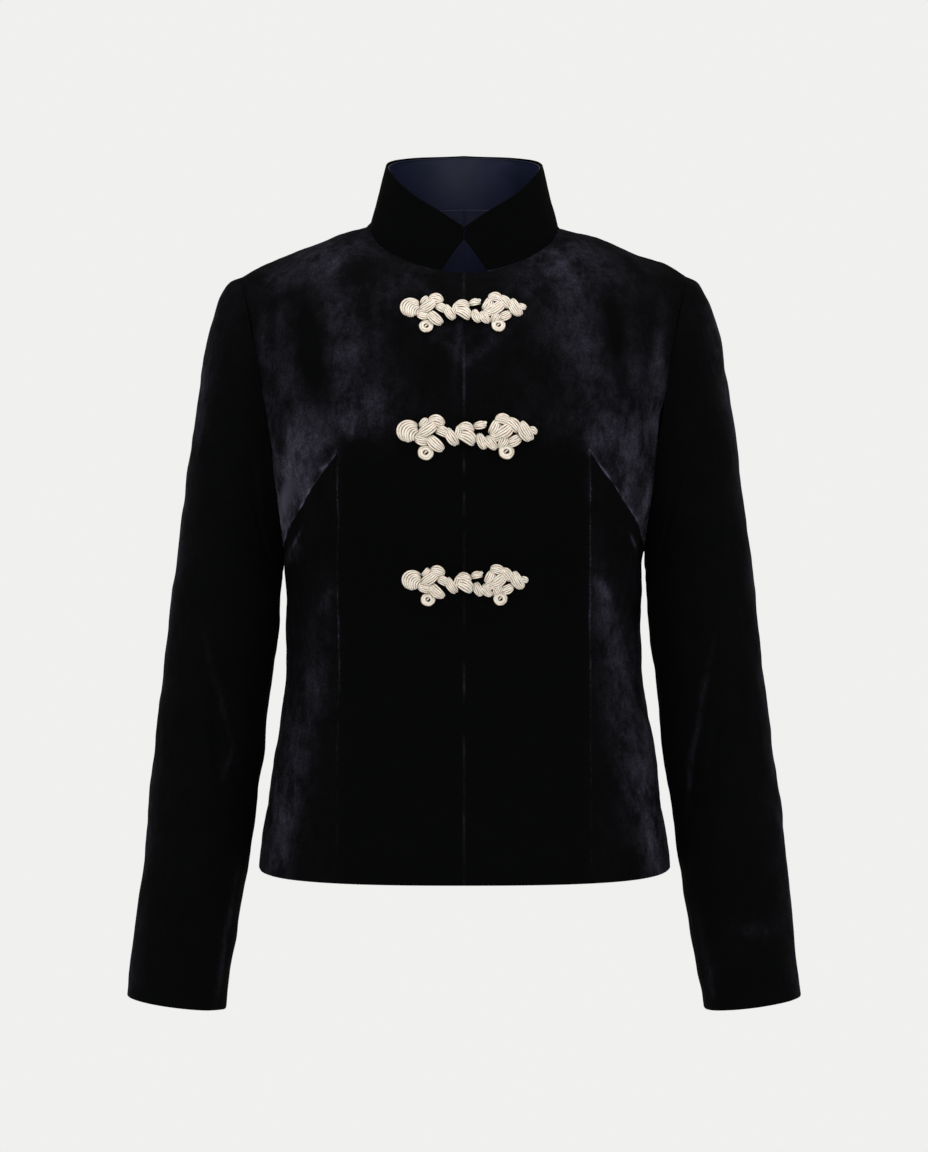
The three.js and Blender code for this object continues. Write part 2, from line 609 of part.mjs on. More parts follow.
for (const [name, panel, material] of [
  ["front", frontPanel(), velvet],
  ["side_front", sideFrontPanel(), velvet],
  ["back", backPanel(), velvet],
  ["top_sleeve", sleevePanel(SLEEVE_SEAMS.back, SLEEVE_SEAMS.front, 11), velvet],
  ["under_sleeve", sleevePanel(SLEEVE_SEAMS.front, SLEEVE_SEAMS.back + 2 * Math.PI, 8), velvet],
  ["back_lining", backLining(), satin],
]) {
  add(`${name}_left`, panel, material);
  add(`${name}_right`, mirrored(panel), material);
}
add("collar", collarWall(COLLAR_SHELL, 0, 0), velvet);
add("collar_facing", collarWall(SATIN, COLLAR_SHELL + GAP, 0.04), satin);
for (const frog of FROGS) {
  add(`${frog.name}_button`, frogHalf(BUTTON_LOBES, BUTTON_RING, frog), cord);
  add(`${frog.name}_loop`, frogHalf(LOOP_LOBES, LOOP_RING, frog), cord);
}

export default jacket;
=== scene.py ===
"""A fitted velvet jacket with a stand collar and three corded frog closures, filled out as it is worn.

Lengths are in millimetres in the tables and functions, and in metres in the scene.
"""

import math

import bpy
import numpy as np
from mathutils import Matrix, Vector
from mathutils.bvhtree import BVHTree
from mathutils.kdtree import KDTree


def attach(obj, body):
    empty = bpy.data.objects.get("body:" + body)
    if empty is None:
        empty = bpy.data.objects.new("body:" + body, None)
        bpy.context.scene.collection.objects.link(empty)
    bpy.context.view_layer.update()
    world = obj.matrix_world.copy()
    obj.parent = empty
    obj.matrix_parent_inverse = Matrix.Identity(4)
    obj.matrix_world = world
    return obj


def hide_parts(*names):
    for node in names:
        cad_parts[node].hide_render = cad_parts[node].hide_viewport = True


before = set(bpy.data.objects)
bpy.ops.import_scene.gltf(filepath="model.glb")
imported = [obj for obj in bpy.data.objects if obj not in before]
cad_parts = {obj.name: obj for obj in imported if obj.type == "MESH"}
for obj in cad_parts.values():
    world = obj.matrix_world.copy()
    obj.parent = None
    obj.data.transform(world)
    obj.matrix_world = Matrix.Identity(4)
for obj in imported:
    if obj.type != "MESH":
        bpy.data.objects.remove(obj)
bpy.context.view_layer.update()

# ---- Driving sizes, as in the solids ----
GAP = 0.3
SHELL = 1.7
SATIN = 0.7
SQUARENESS = 2.4
QUARTER = math.pi / 2
HEM = {"centre_front": -545, "side": -537, "centre_back": -541}
UNDERARM_Z = -272
CHEST_Z = -180
TOP_LEVEL = -60
PANEL_SEAM_X = 104
BUST_POINT_Z = -190

TORSO_COLUMNS = ("z", "half_width", "front", "back")
TORSO = (
    (-560, 177, 118, 114),
    (-527, 173, 115, 110),
    (-494, 168, 111, 106),
    (-460, 163.3, 108, 101),
    (-427, 158, 104.5, 96),
    (-393, 153.2, 101.5, 91),
    (-360, 150, 100, 88),
    (-326, 149, 102, 88),
    (-298, 149.6, 107, 90),
    (-272, 151.5, 112.5, 93),
    (-238, 158.6, 118, 97),
    (-205, 165.8, 120, 99),
    (-172, 173.4, 117.5, 99),
    (-140, 181, 111, 97),
)
NECK = {"half_width": 79, "centre_y": -6, "half_depth": 56, "front_z": -40, "slope": 0.57, "side_lift": 10.08}
SHOULDER_COLUMNS = ("share", "x", "y", "z")
SHOULDER = (
    (0, 79, -6, 2),
    (0.3, 109, -3, -6.4),
    (0.6, 144, 0, -19.4),
    (0.87, 175, 2, -31.5),
    (1, 188, 2, -39.5),
)
ARMHOLE = {"top_x": 188, "top_z": -39.5, "bottom_x": 151.5, "bow": 4.5, "top_y": 2}
SLEEVE_COLUMNS = ("along", "outer_x", "outer_z", "inner_x", "inner_z", "half_depth", "y")
SLEEVE = (
    (0, 188, -39.5, 151.5, -272, 49, 2),
    (0.03, 197.5, -45.6, 151.7, -275, 52, 2),
    (0.07, 205, -56.5, 151.9, -278, 55, 2),
    (0.12, 211.5, -76, 152.1, -281, 57.5, 2),
    (0.19, 218, -105, 152.4, -286, 59, 2),
    (0.28, 225.5, -152, 152.8, -294, 59.5, 1),
    (0.37, 234, -212, 153.6, -307, 58.5, 0),
    (0.47, 243.5, -291, 156.2, -338, 56, -2),
    (0.58, 252.5, -368, 161.6, -389, 53, -5),
    (0.7, 261, -446, 169.8, -459, 49.5, -11),
    (0.84, 270.6, -537, 182.6, -548, 45.5, -20),
    (1, 281.6, -644, 200, -655, 42, -31),
)
SLEEVE_SEAMS = {"front": 0.87 * math.pi, "back": -0.3 * math.pi}
CAP_SHARE = 0.3
SLEEVE_FOLD_COLUMNS = ("along", "turn", "half_along", "half_turn", "slant", "depth")
SLEEVE_FOLDS = (
    (0.63, 2.0, 0.03, 0.75, 0.06, 3.2),
    (0.7, 2.25, 0.028, 0.7, 0.07, 2.6),
    (0.57, -2.3, 0.03, 0.7, -0.05, 2.4),
    (0.3, 2.35, 0.035, 0.6, -0.08, 2.8),
    (0.3, -2.35, 0.035, 0.6, 0.08, 2.8),
)
COLLAR = {"top_half_width": 66, "top_centre_y": -7, "top_half_depth": 51}
COLLAR_END = {"angle": 13.5, "tip_share": 0.71, "tip_x": 0.3}
COLLAR_TOP = ((0, -2), (20, 13), (40, 26), (65, 43.5), (90, 55), (135, 64.5), (180, 68))
NECK_AROUND = 0.405
RISE = {-1: ((0.72, 0.69), (0.95, 0.31)), 1: ((0.55, 0.83), (0.9, 0.44))}
FAN_TURN = 0.8
FAN_REACH = 0.4
LEAVE_SHARE, ARRIVE_SHARE = 0.42, 0.36
SOFTEN = 0.36
EDGE_REACH = 5
SLANT_BOW = 0.85


# ---- Helpers ----
def mix(a, b, t):
    return a + (b - a) * t


def ease(t):
    return t * t * (3 - 2 * t)


def vec(x, y, z):
    return np.stack(np.broadcast_arrays(x, y, z), axis=-1).astype(float)


def read(table, at, column, columns):
    """A smooth curve through one column of a table, read at values of its first column."""
    data = np.array(table, float)
    keys, values = data[:, 0], data[:, columns.index(column)]
    last = len(keys) - 1
    at = np.asarray(at, float)
    i = np.clip(np.searchsorted(keys, at, side="left") - 1, 0, last - 1)
    before, after = np.maximum(i - 1, 0), np.minimum(i + 2, last)
    span = keys[i + 1] - keys[i]
    t = np.clip((at - keys[i]) / span, 0, 1)
    slope_a = (values[i + 1] - values[before]) / (keys[i + 1] - keys[before]) * span
    slope_b = (values[after] - values[i]) / (keys[after] - keys[i]) * span
    t2, t3 = t * t, t * t * t
    return (
        (2 * t3 - 3 * t2 + 1) * values[i]
        + (t3 - 2 * t2 + t) * slope_a
        + (3 * t2 - 2 * t3) * values[i + 1]
        + (t3 - t2) * slope_b
    )


def length(v):
    return np.linalg.norm(v, axis=-1, keepdims=True)


def unit(v):
    return v / np.maximum(length(v), 1e-9)


def limit(t):
    return np.clip(t, 0, 1)


def bell(t):
    return np.exp(-(t**2))


def bezier(a, b, c, d, t):
    return (1 - t) ** 3 * a + 3 * (1 - t) ** 2 * t * b + 3 * (1 - t) * t**2 * c + t**3 * d


def on_left(points):
    """Points mirrored to the wearer's left, where x is positive."""
    return np.abs(points) * (1, 0, 0) + points * (0, 1, 1)


def turned(x, z, degrees):
    """How far along and across a stroke at this angle each place lies."""
    angle = math.radians(degrees)
    return x * math.cos(angle) + z * math.sin(angle), -x * math.sin(angle) + z * math.cos(angle)


def named(columns, table):
    """The rows of a table as dictionaries."""
    return [dict(zip(columns, row)) for row in table]


# ---- The torso's surface ----
def armhole_x(z):
    middle = (ARMHOLE["top_z"] + UNDERARM_Z) / 2
    up = (z - middle) / (ARMHOLE["top_z"] - middle)
    return mix(ARMHOLE["bottom_x"], ARMHOLE["top_x"], (up + 1) / 2) - ARMHOLE["bow"] * (1 - up * up)


def half_ring(z):
    """The torso's half width at a height, and the angle where its front ends at the side seam or the armhole."""
    half_width = read(TORSO, z, "half_width", TORSO_COLUMNS)
    return half_width, np.where(z > UNDERARM_Z, np.arcsin(np.clip(armhole_x(z) / half_width, -1, 1)), QUARTER)


def ring(side, around, z):
    """The torso below the chest. side is -1 in front and 1 behind. around is 0 at the centre and 1 at the side."""
    half_width, end = half_ring(z)
    depth = read(TORSO, z, "front" if side < 0 else "back", TORSO_COLUMNS)
    across = np.sin(np.minimum(around, 1) * end)
    depth = side * depth * np.maximum(1 - np.abs(across) ** SQUARENESS, 0) ** (1 / SQUARENESS)
    return vec(half_width * across, depth, z)


CHEST_TURN = math.acos((2 * CHEST_Z - ARMHOLE["top_z"] - UNDERARM_Z) / (ARMHOLE["top_z"] - UNDERARM_Z))


def armhole_edge(side, turn):
    z = mix(UNDERARM_Z, ARMHOLE["top_z"], (1 + np.cos(turn)) / 2)
    low = ring(side, np.ones_like(z), z)
    chest_y = ring(side, np.ones(1), np.array([CHEST_Z]))[0, 1]
    out = np.sin(turn) / math.sin(CHEST_TURN)
    top_share = 1 - ease(limit(turn / CHEST_TURN))
    high = vec(armhole_x(z), chest_y * out + ARMHOLE["top_y"] * top_share, z)
    return np.where((turn >= CHEST_TURN)[..., None], low, high)


def neckline(angle):
    y = NECK["centre_y"] - NECK["half_depth"] * np.cos(angle)
    from_front = y - (NECK["centre_y"] - NECK["half_depth"])
    z = NECK["front_z"] + NECK["slope"] * from_front + NECK["side_lift"] * np.sin(angle) ** 2
    return vec(NECK["half_width"] * np.sin(angle), y, z)


def shoulder_seam(share):
    return vec(*(read(SHOULDER, share, axis, SHOULDER_COLUMNS) for axis in "xyz"))


def yoke(side, around, share):
    chest = np.full_like(around, CHEST_Z)
    start = ring(side, around, chest)
    climb = start - ring(side, around, chest - 1)
    on_neck = around < NECK_AROUND
    neck_angle = QUARTER * np.minimum(around / NECK_AROUND, 1)
    neck = neckline(neck_angle if side < 0 else math.pi - neck_angle)
    seam = shoulder_seam(limit((around - NECK_AROUND) / (1 - NECK_AROUND)))
    top = np.where(on_neck[..., None], neck, seam)
    top[..., 1] += side * GAP / 2
    level = np.where(on_neck, ease(np.minimum(around / NECK_AROUND, 1)), 1.0)
    at_neck, at_shoulder = RISE[side]
    inwards = mix(at_neck[0], at_shoulder[0], level)
    up = mix(at_neck[1], at_shoulder[1], level)
    beyond = limit((around - NECK_AROUND) / FAN_REACH)
    fan = FAN_TURN * level * (1 - ease(beyond))
    arrive = unit(vec(-inwards * np.sin(fan), -side * inwards * np.cos(fan), up))
    leave_length = LEAVE_SHARE * (top[..., 2:] - start[..., 2:])
    arrive_length = ARRIVE_SHARE * length(top - start)
    a, b = start + climb * leave_length, top - arrive * arrive_length
    return bezier(start, a, b, top, share[..., None])


def soft_yoke(side, around, share):
    reach = np.minimum(SOFTEN * share * (1 - share), (1 - around) / 2)
    total = 0
    for i, weight in enumerate((1, 2, 3, 2, 1)):
        at = around + (i - 2) * reach
        sample = yoke(side, np.abs(at), share)
        sample[..., 0] = np.where(at < 0, -sample[..., 0], sample[..., 0])
        total = total + sample * weight / 9
    return total


def torso(side, around, level):
    """The torso's outer surface on the wearer's left."""
    around, level = np.broadcast_arrays(np.asarray(around, float), np.asarray(level, float))
    low = ring(side, around, np.minimum(level, CHEST_Z))
    share = limit((level - CHEST_Z) / (TOP_LEVEL - CHEST_Z))
    high = soft_yoke(side, around, share)
    one = np.ones_like(share)
    pull = armhole_edge(side, CHEST_TURN * (1 - share)) - yoke(side, one, share)
    high = high + pull * (limit(around) ** EDGE_REACH)[..., None]
    return np.where((level <= CHEST_Z)[..., None], low, high)


def panel_seam_around(z):
    half_width, end = half_ring(z)
    return np.arcsin(PANEL_SEAM_X / half_width) / end


BUST_AROUND = float(panel_seam_around(BUST_POINT_Z))


def hem_level(side, around):
    return mix(HEM["centre_front"] if side < 0 else HEM["centre_back"], HEM["side"], around**3)


def slant_level(share):
    return mix(BUST_POINT_Z, UNDERARM_Z, limit(share) ** SLANT_BOW)


# ---- The sleeve's surface ----
def sleeve_ring(turn, along):
    ox, oz, ix, iz, depth, y = (read(SLEEVE, along, column, SLEEVE_COLUMNS) for column in SLEEVE_COLUMNS[1:])
    share = (1 - np.cos(turn)) / 2
    return vec(mix(ox, ix, share), y - depth * np.sin(turn), mix(oz, iz, share))


def wrapped(turn):
    return np.arctan2(np.sin(turn), np.cos(turn))


def sleeve(turn, along):
    turn, along = np.broadcast_arrays(np.asarray(turn, float), np.asarray(along, float))
    point = sleeve_ring(turn, along)
    round_it = np.abs(wrapped(turn))
    front = (np.sin(turn) >= 0)[..., None]
    edge = np.where(front, armhole_edge(-1, round_it), armhole_edge(1, round_it))
    seat = edge - sleeve_ring(turn, np.zeros_like(along))
    point = point + seat * (np.maximum(1 - along / CAP_SHARE, 0) ** 2)[..., None]
    point[..., 0] += 2 * GAP
    middle = (sleeve_ring(np.zeros_like(turn), along) + sleeve_ring(np.full_like(turn, math.pi), along)) / 2
    out = unit(sleeve_ring(turn, along) - middle)
    return point - out * fold_depth(turn, along)[..., None]


def fold_depth(turn, along):
    depth = 0
    for fold in named(SLEEVE_FOLD_COLUMNS, SLEEVE_FOLDS):
        offset = wrapped(turn - fold["turn"])
        across = (along - fold["along"] - fold["slant"] * offset) / fold["half_along"]
        depth = depth + fold["depth"] * np.exp(-(across**2) - (offset / fold["half_turn"]) ** 2)
    return depth


# ---- The collar's surface ----
def collar(angle, up):
    """angle runs from the centre front round by the wearer's left, the back and the right."""
    angle, up = np.broadcast_arrays(np.asarray(angle, float), np.asarray(up, float))
    round_it = np.where(angle <= math.pi, angle, 2 * math.pi - angle)
    base = neckline(round_it)
    top = vec(
        COLLAR["top_half_width"] * np.sin(round_it),
        COLLAR["top_centre_y"] - COLLAR["top_half_depth"] * np.cos(round_it),
        read(COLLAR_TOP, np.degrees(round_it), "z", ("angle", "z")),
    )
    point = base + (top - base) * up[..., None]
    point[..., 2] += 3 * GAP * (1 - up)
    point[..., 0] = np.where(angle <= math.pi, point[..., 0], -point[..., 0])
    return point


def collar_end(up):
    slanted = math.radians(COLLAR_END["angle"]) * np.maximum(1 - up / COLLAR_END["tip_share"], 0)
    return slanted + COLLAR_END["tip_x"] / NECK["half_width"]


# ---- Soft undulations, from seeded waves ----
class Waves:
    """A smooth random field of a given wavelength in millimetres, about -1 to 1."""

    COUNT = 26

    def __init__(self, seed, wavelength):
        rng = np.random.default_rng(seed)
        ways = unit(rng.normal(size=(self.COUNT, 3)))
        self.k = ways * rng.uniform(0.7, 1.5, (self.COUNT, 1)) * 2 * math.pi / wavelength
        self.phase = rng.uniform(0, 2 * math.pi, self.COUNT)

    def __call__(self, points):
        total = np.zeros(len(points))
        for k, phase in zip(self.k, self.phase):
            total += np.sin(points @ k + phase)
        return total / math.sqrt(self.COUNT * 0.9)


def spaced(first, last, count, edge_first=0.0, edge_last=0.0):
    """Values from first to last, closer near a rolled end. An edge is about a millimetre there, as a share."""
    values = list(np.linspace(first, last, count))
    near = (0.2, 0.45, 0.8, 1.3, 2.0, 3.0, 4.5)
    span = last - first
    forward = math.copysign(1, span)
    for edge, origin, way in ((edge_first, first, forward), (edge_last, last, -forward)):
        if edge:
            values += [origin + way * edge * k for k in near if edge * k < abs(span) / 3]
    values = np.array(sorted(set(values), reverse=span < 0))
    keep = [0]
    for i in range(1, len(values)):
        if abs(values[i] - values[keep[-1]]) > 1e-7:
            keep.append(i)
    return values[keep]


# ---- Seams: where the cloth is sewn, it dips and puckers ----
PATH_POINTS = 400


def path(points):
    """A curve through sampled points: its points, and how far along it each is."""
    along = np.concatenate([[0], np.cumsum(np.linalg.norm(np.diff(points, axis=0), axis=1))])
    at = np.linspace(0, along[-1], PATH_POINTS)
    return np.stack([np.interp(at, along, points[:, i]) for i in range(3)], axis=1), at


def nearest(points, curve):
    """How far each point is from a curve, and how far along the curve its nearest place is."""
    line, at = curve
    tree = KDTree(len(line))
    for i, p in enumerate(line):
        tree.insert(p, i)
    tree.balance()
    _, indices, distances = zip(*(tree.find(p) for p in points))
    return np.array(distances), at[list(indices)]


LONGEST_SEAM = 700


def roll(distance, radius):
    """How far the cloth turns under near a sewn or folded edge."""
    t = limit(1 - distance / radius)
    return radius * (1 - np.sqrt(np.maximum(1 - t * t, 0)))


def pucker(distance, along, seed, reach, depth, pitch):
    """Small uneven pulls that run out from a seam."""
    rng = np.random.default_rng(seed)
    total = np.zeros_like(distance)
    place = rng.uniform(0, pitch)
    while place < LONGEST_SEAM:
        size = rng.uniform(0.35, 1.0)
        lean = rng.normal(0, 0.35)
        wide = rng.uniform(1.3, 2.6)
        out = reach * rng.uniform(0.5, 1.3)
        t = (along - place - lean * distance) / wide
        pull = bell(t) - 0.6 * bell(t - 1.7)
        total += depth * size * pull * bell(distance / out)
        place += pitch * rng.uniform(0.45, 1.7)
    return total


many = np.linspace(0, 1, 240)
upright_levels = np.linspace(HEM["centre_front"], BUST_POINT_Z, 240)
SEAMS = {
    "upright": path(torso(-1, panel_seam_around(upright_levels), upright_levels)),
    "slant": path(torso(-1, mix(BUST_AROUND, 1, many), slant_level(many))),
    "centre_front": path(torso(-1, np.zeros(240), np.linspace(HEM["centre_front"], TOP_LEVEL, 240))),
    "side": path(ring(-1, np.ones(240), np.linspace(HEM["side"], UNDERARM_Z, 240))),
    "front_armhole": path(armhole_edge(-1, np.linspace(0, math.pi, 240))),
    "back_armhole": path(armhole_edge(1, np.linspace(0, math.pi, 240))),
    "neck_front": path(neckline(np.linspace(0, QUARTER, 200))),
    "neck_back": path(neckline(np.linspace(QUARTER, math.pi, 200))),
    "shoulder": path(shoulder_seam(many)),
    "hem_front": path(torso(-1, many, hem_level(-1, many))),
    "hem_back": path(torso(1, many, hem_level(1, many))),
    "centre_back": path(torso(1, np.zeros(240), np.linspace(HEM["centre_back"], TOP_LEVEL, 240))),
}

# ---- Creases laid on the fronts, one by one: x and z of the middle, as seen from the front ----
CREASE_COLUMNS = ("x", "z", "length", "width", "angle", "depth")
FRONT_CREASES = (
    # pulls from the neckline towards the top closure
    (-25, -37, 16, 2.2, -50, 0.9),
    (-33, -44, 22, 3.0, -42, 0.7),
    (31, -41, 18, 2.2, 50, 0.9),
    (50, -45, 22, 2.6, 44, 0.8),
    # folds in a V under the top closure
    (-17, -89, 34, 3.6, -26, 0.8),
    (20, -87, 32, 3.4, 28, 0.8),
    (-30, -104, 46, 6.0, -20, 0.8),
    (34, -101, 44, 5.5, 24, 0.7),
    (-8, -112, 26, 4.0, 70, 0.6),
    # soft drapes from the armholes to the bust
    (-128, -150, 90, 10, -62, 1.6),
    (-112, -182, 84, 9, -48, 1.3),
    (-96, -120, 90, 13, -70, 1.2),
    (126, -146, 90, 10, 60, 1.6),
    (110, -178, 84, 9, 46, 1.3),
    (92, -118, 90, 12, 72, 1.2),
    (-62, -140, 70, 12, 24, 0.9),
    (66, -136, 70, 12, -22, 0.9),
    (-140, -222, 60, 7, -66, 1.6),
    (139, -220, 60, 7, 66, 1.6),
    # under the bust and down to the hem
    (-60, -212, 90, 9, 6, 1.0),
    (58, -210, 90, 9, -6, 1.0),
    (-124, -300, 110, 11, 80, 1.3),
    (124, -305, 110, 11, -80, 1.3),
    (-76, -330, 120, 16, 86, 0.9),
    (74, -335, 120, 16, -86, 0.9),
    (-132, -430, 130, 14, 74, 1.1),
    (134, -425, 130, 14, -74, 1.1),
    (-40, -440, 120, 18, 84, 0.6),
    (44, -450, 110, 18, -85, 0.6),
)
BACK_CREASES = (
    (-110, -150, 90, 12, 60, 1.2),
    (108, -156, 90, 12, -60, 1.2),
    (-60, -330, 90, 12, 20, 1.2),
    (58, -326, 90, 12, -22, 1.2),
    (-112, -300, 100, 12, 80, 1.2),
    (110, -304, 100, 12, -80, 1.2),
    (-70, -450, 110, 16, 84, 0.9),
    (74, -446, 110, 16, -84, 0.9),
)


def crease(row, x, z, bow, ridge, fade):
    """A trough with a soft ridge on each side. x and z are from its middle, and bow bends it."""
    along, across = turned(x, z, row["angle"])
    along = along / (row["length"] / 2)
    across = (across + bow * along**2) / row["width"]
    shape = bell(across) - ridge * bell(np.abs(across) - 1.9)
    return row["depth"] * shape * np.exp(-(along**2) * fade)


def creases(points, table):
    total = np.zeros(len(points))
    for c in named(CREASE_COLUMNS, table):
        x, z = points[:, 0] - c["x"], points[:, 2] - c["z"]
        total += crease(c, x, z, bow=0.06 * c["length"], ridge=0.45, fade=1.6)
    return total


# ---- Nap and painted sheen: where the pile is brushed up, and where its sheen and highlights are painted in as a lighter grey. x and z as seen from the front ----
NAP_AND_SHEEN_COLUMNS = ("x", "z", "half_long", "half_wide", "angle", "strength")
# Brushed nap with painted sheen: each row lifts the velvet towards a lighter grey with more sheen, and rows of
# negative strength take it away.
FRONT_NAP_AND_SHEEN = (
    # shoulders
    (-115, -28, 46, 14, 19, 0.44),
    (88, -31, 46, 16, -18, 0.44),
    (-60, -52, 34, 14, 30, 0.26),
    (58, -54, 34, 14, -30, 0.26),
    # streaks down the chest
    (-98, -108, 66, 17, -77, 0.56),
    (-150, -110, 50, 12, -84, 0.26),
    (-124, -110, 42, 10, -85, -0.26),
    (-70, -100, 44, 12, -80, 0.16),
    (-84, -158, 26, 14, 20, 0.62),
    (95, -92, 68, 19, -77, 0.52),
    (142, -132, 50, 14, -80, 0.28),
    (126, -100, 40, 9, -82, -0.24),
    (66, -104, 44, 12, 82, 0.16),
    (161, -132, 40, 5, 86, 0.7),
    (-165, -130, 40, 4, -86, 0.5),
    # over the bust
    (-98, -174, 48, 12, 6, 0.28),
    (109, -176, 42, 13, -10, 0.36),
    (-140, -176, 36, 22, 70, 0.42),
    (140, -176, 36, 22, -70, 0.38),
    # painted highlights on the folds under the top closure
    (22, -101, 20, 4.5, 40, 0.4),
    (-12, -106, 16, 4, -38, 0.32),
    (30, -84, 20, 4, 24, 0.26),
    (-27, -86, 22, 4, -22, 0.24),
    (-4, -94, 26, 3, 84, 0.3),
    (34, -60, 18, 3, 48, 0.22),
    (-30, -58, 16, 3, -48, 0.2),
    # the triangles between the armholes and the bust, with painted sheen
    (-139, -220, 42, 16, 66, 1.15),
    (131, -220, 44, 17, -66, 0.82),
    (-150, -230, 38, 6, 80, 0.7),
    (152, -232, 34, 5, -80, 0.6),
    (-119, -197, 8, 5, 35, -0.35),
    # painted highlights: specks of light on the slanted seams' puckers
    (-114, -203, 4.5, 1.5, 35, 2.0),
    (-125, -224, 4.5, 1.5, 65, 2.2),
    (-134, -240, 3.5, 1.3, 60, 1.5),
    (-138, -249, 6, 1.4, 68, 2.0),
    (117, -209, 4.5, 1.5, -50, 2.0),
    (126, -224, 4, 1.3, -62, 1.5),
    (137, -246, 5.5, 1.5, -66, 2.0),
    (145, -261, 4.5, 1.3, -72, 1.5),
)
SIDE_NAP_AND_SHEEN = (
    # brushed nap with painted sheen, from the waist out to the hem corners
    (-139, -445, 92, 12, 79, 0.42),
    (-121, -362, 30, 8, 80, 0.12),
    (-150, -506, 44, 10, 80, 0.38),
    (137, -425, 100, 14, -79, 0.5),
    (122, -346, 34, 9, -80, 0.4),
    (154, -500, 48, 11, -80, 0.4),
    (-113, -313, 10, 4, 60, 0.4),
    (116, -304, 9, 3, -50, 0.9),
    (119, -316, 16, 5, -60, 0.4),
    (-139.5, -262, 6, 1.2, 62, 0.9),
    (-141, -272, 9, 4, 60, 0.25),
    (140, -263, 5, 1.2, -64, 0.7),
)
# Brushed nap with painted sheen on the back.
BACK_NAP_AND_SHEEN = (
    (-80, -90, 80, 40, 70, 0.55),
    (80, -94, 80, 40, -70, 0.55),
    (-138, -400, 130, 20, 84, 0.7),
    (138, -400, 130, 20, -84, 0.7),
    (6, -190, 60, 50, 90, 0.25),
    (-4, -330, 90, 20, 90, 0.3),
)
# Painted highlights where a seam's turned edge would catch the light: seam, from and to how far along, width and
# strength.
EDGE_HIGHLIGHT_ROWS = {
    "front": (
        ("centre_front", 0.0, 0.96, 0.9, 0.6),
        ("slant", 0.0, 1.0, 1.6, 1.2),
        ("upright", 0.5, 0.92, 1.1, 0.85),
    ),
    "side_front": (("upright", 0.1, 0.95, 0.7, 0.3),),
    "back": (("centre_back", 0.0, 1.0, 0.7, 0.25),),
}
UNBRUSHED = 0.03
BRIGHTEST = 2.4
# Painted highlights: the mask above this level is a painted highlight, which the noise does not break up.
HIGHLIGHT_LEVEL = 1.0  # what the nap has above this is not broken up by the noise


# Brushed nap and painted sheen: soft patches from a table, on a low base and clipped.
def brushed_and_sheen(points, table):
    total = np.full(len(points), UNBRUSHED)
    for n in named(NAP_AND_SHEEN_COLUMNS, table):
        along, across = turned(points[:, 0] - n["x"], points[:, 2] - n["z"], n["angle"])
        along, across = along / n["half_long"], across / n["half_wide"]
        total += n["strength"] * np.exp(-(along**2) * 0.9 - across**2 * 0.9)
    return np.clip(total, 0, BRIGHTEST)


BROAD = Waves(3, 95)
MEDIUM = Waves(5, 42)
SMALL = Waves(8, 17)


# ---- Building shells ----
def net(rows):
    """Rows of points as one list of points and its faces. A row may be longer than the one before it."""
    faces, start = [], 0
    for row in rows[:-1]:
        a = np.arange(start, start + len(row) - 1)
        b = a + len(row)
        faces.append(np.stack([a, a + 1, b + 1, b], axis=1))
        start += len(row)
    return np.concatenate(rows), np.concatenate(faces)


def vertex_normals(points, faces):
    a, b, c, d = (points[faces[:, i]] for i in range(4))
    face = np.cross(c - a, d - b)
    total = np.zeros_like(points)
    for i in range(4):
        np.add.at(total, faces[:, i], face)
    return unit(total)


def rim(faces, count):
    """Quads from the open edges of one wall to those of the other, whose points follow in the same order."""
    edges = {}
    for quad in faces.tolist():
        for edge in zip(quad, quad[1:] + quad[:1]):
            if not edges.pop(edge[::-1], False):
                edges[edge] = True
    return np.array([(a, a + count, b + count, b) for a, b in edges])


def new_object(name, data):
    obj = bpy.data.objects.new(name, data)
    bpy.context.scene.collection.objects.link(obj)
    return obj


def make(name, points, faces, materials, groups=None):
    mesh = bpy.data.meshes.new(name)
    mesh.from_pydata((points / 1000).tolist(), [], faces)
    for m in materials:
        mesh.materials.append(m)
    if groups is not None:
        mesh.polygons.foreach_set("material_index", groups)
    mesh.shade_smooth()
    return new_object(name, mesh)


def mark(obj, attribute, values):
    """Give each point a number that the material reads."""
    layer = obj.data.attributes.new(attribute, "FLOAT", "POINT")
    layer.data.foreach_set("value", np.concatenate(values).astype(np.float32))


def shell(name, points, faces, displace, thickness, materials, inset=0.0, nap_and_sheen=None, steady=None):
    """A closed thin shell. displace is how far each point is pressed in along its normal.

    steady gives each point's share of x and y in its normal, so that pieces keep together at a seam.
    """
    normals = vertex_normals(points, faces)
    if steady is not None:
        normals = unit(normals * steady)
    outer = points - normals * (displace + inset)[:, None]
    inner = outer - (vertex_normals(outer, faces) if steady is None else normals) * thickness
    count = len(points)
    sides = rim(faces, count)
    quads = np.concatenate([faces, faces[:, ::-1] + count, sides])
    groups = np.concatenate([np.zeros(len(faces)), np.ones(len(faces)), np.zeros(len(sides))]).astype(int)
    obj = make(name, np.concatenate([outer, inner]), quads.tolist(), materials, groups)
    # The velvet's mask of brushed nap and painted sheen and highlights, which the material reads.
    if nap_and_sheen is not None:
        mark(obj, "nap_and_sheen", [nap_and_sheen / BRIGHTEST] * 2)
    return obj


def flipped(points, faces):
    points = points.copy()
    points[:, 0] *= -1
    return points, faces[:, ::-1]


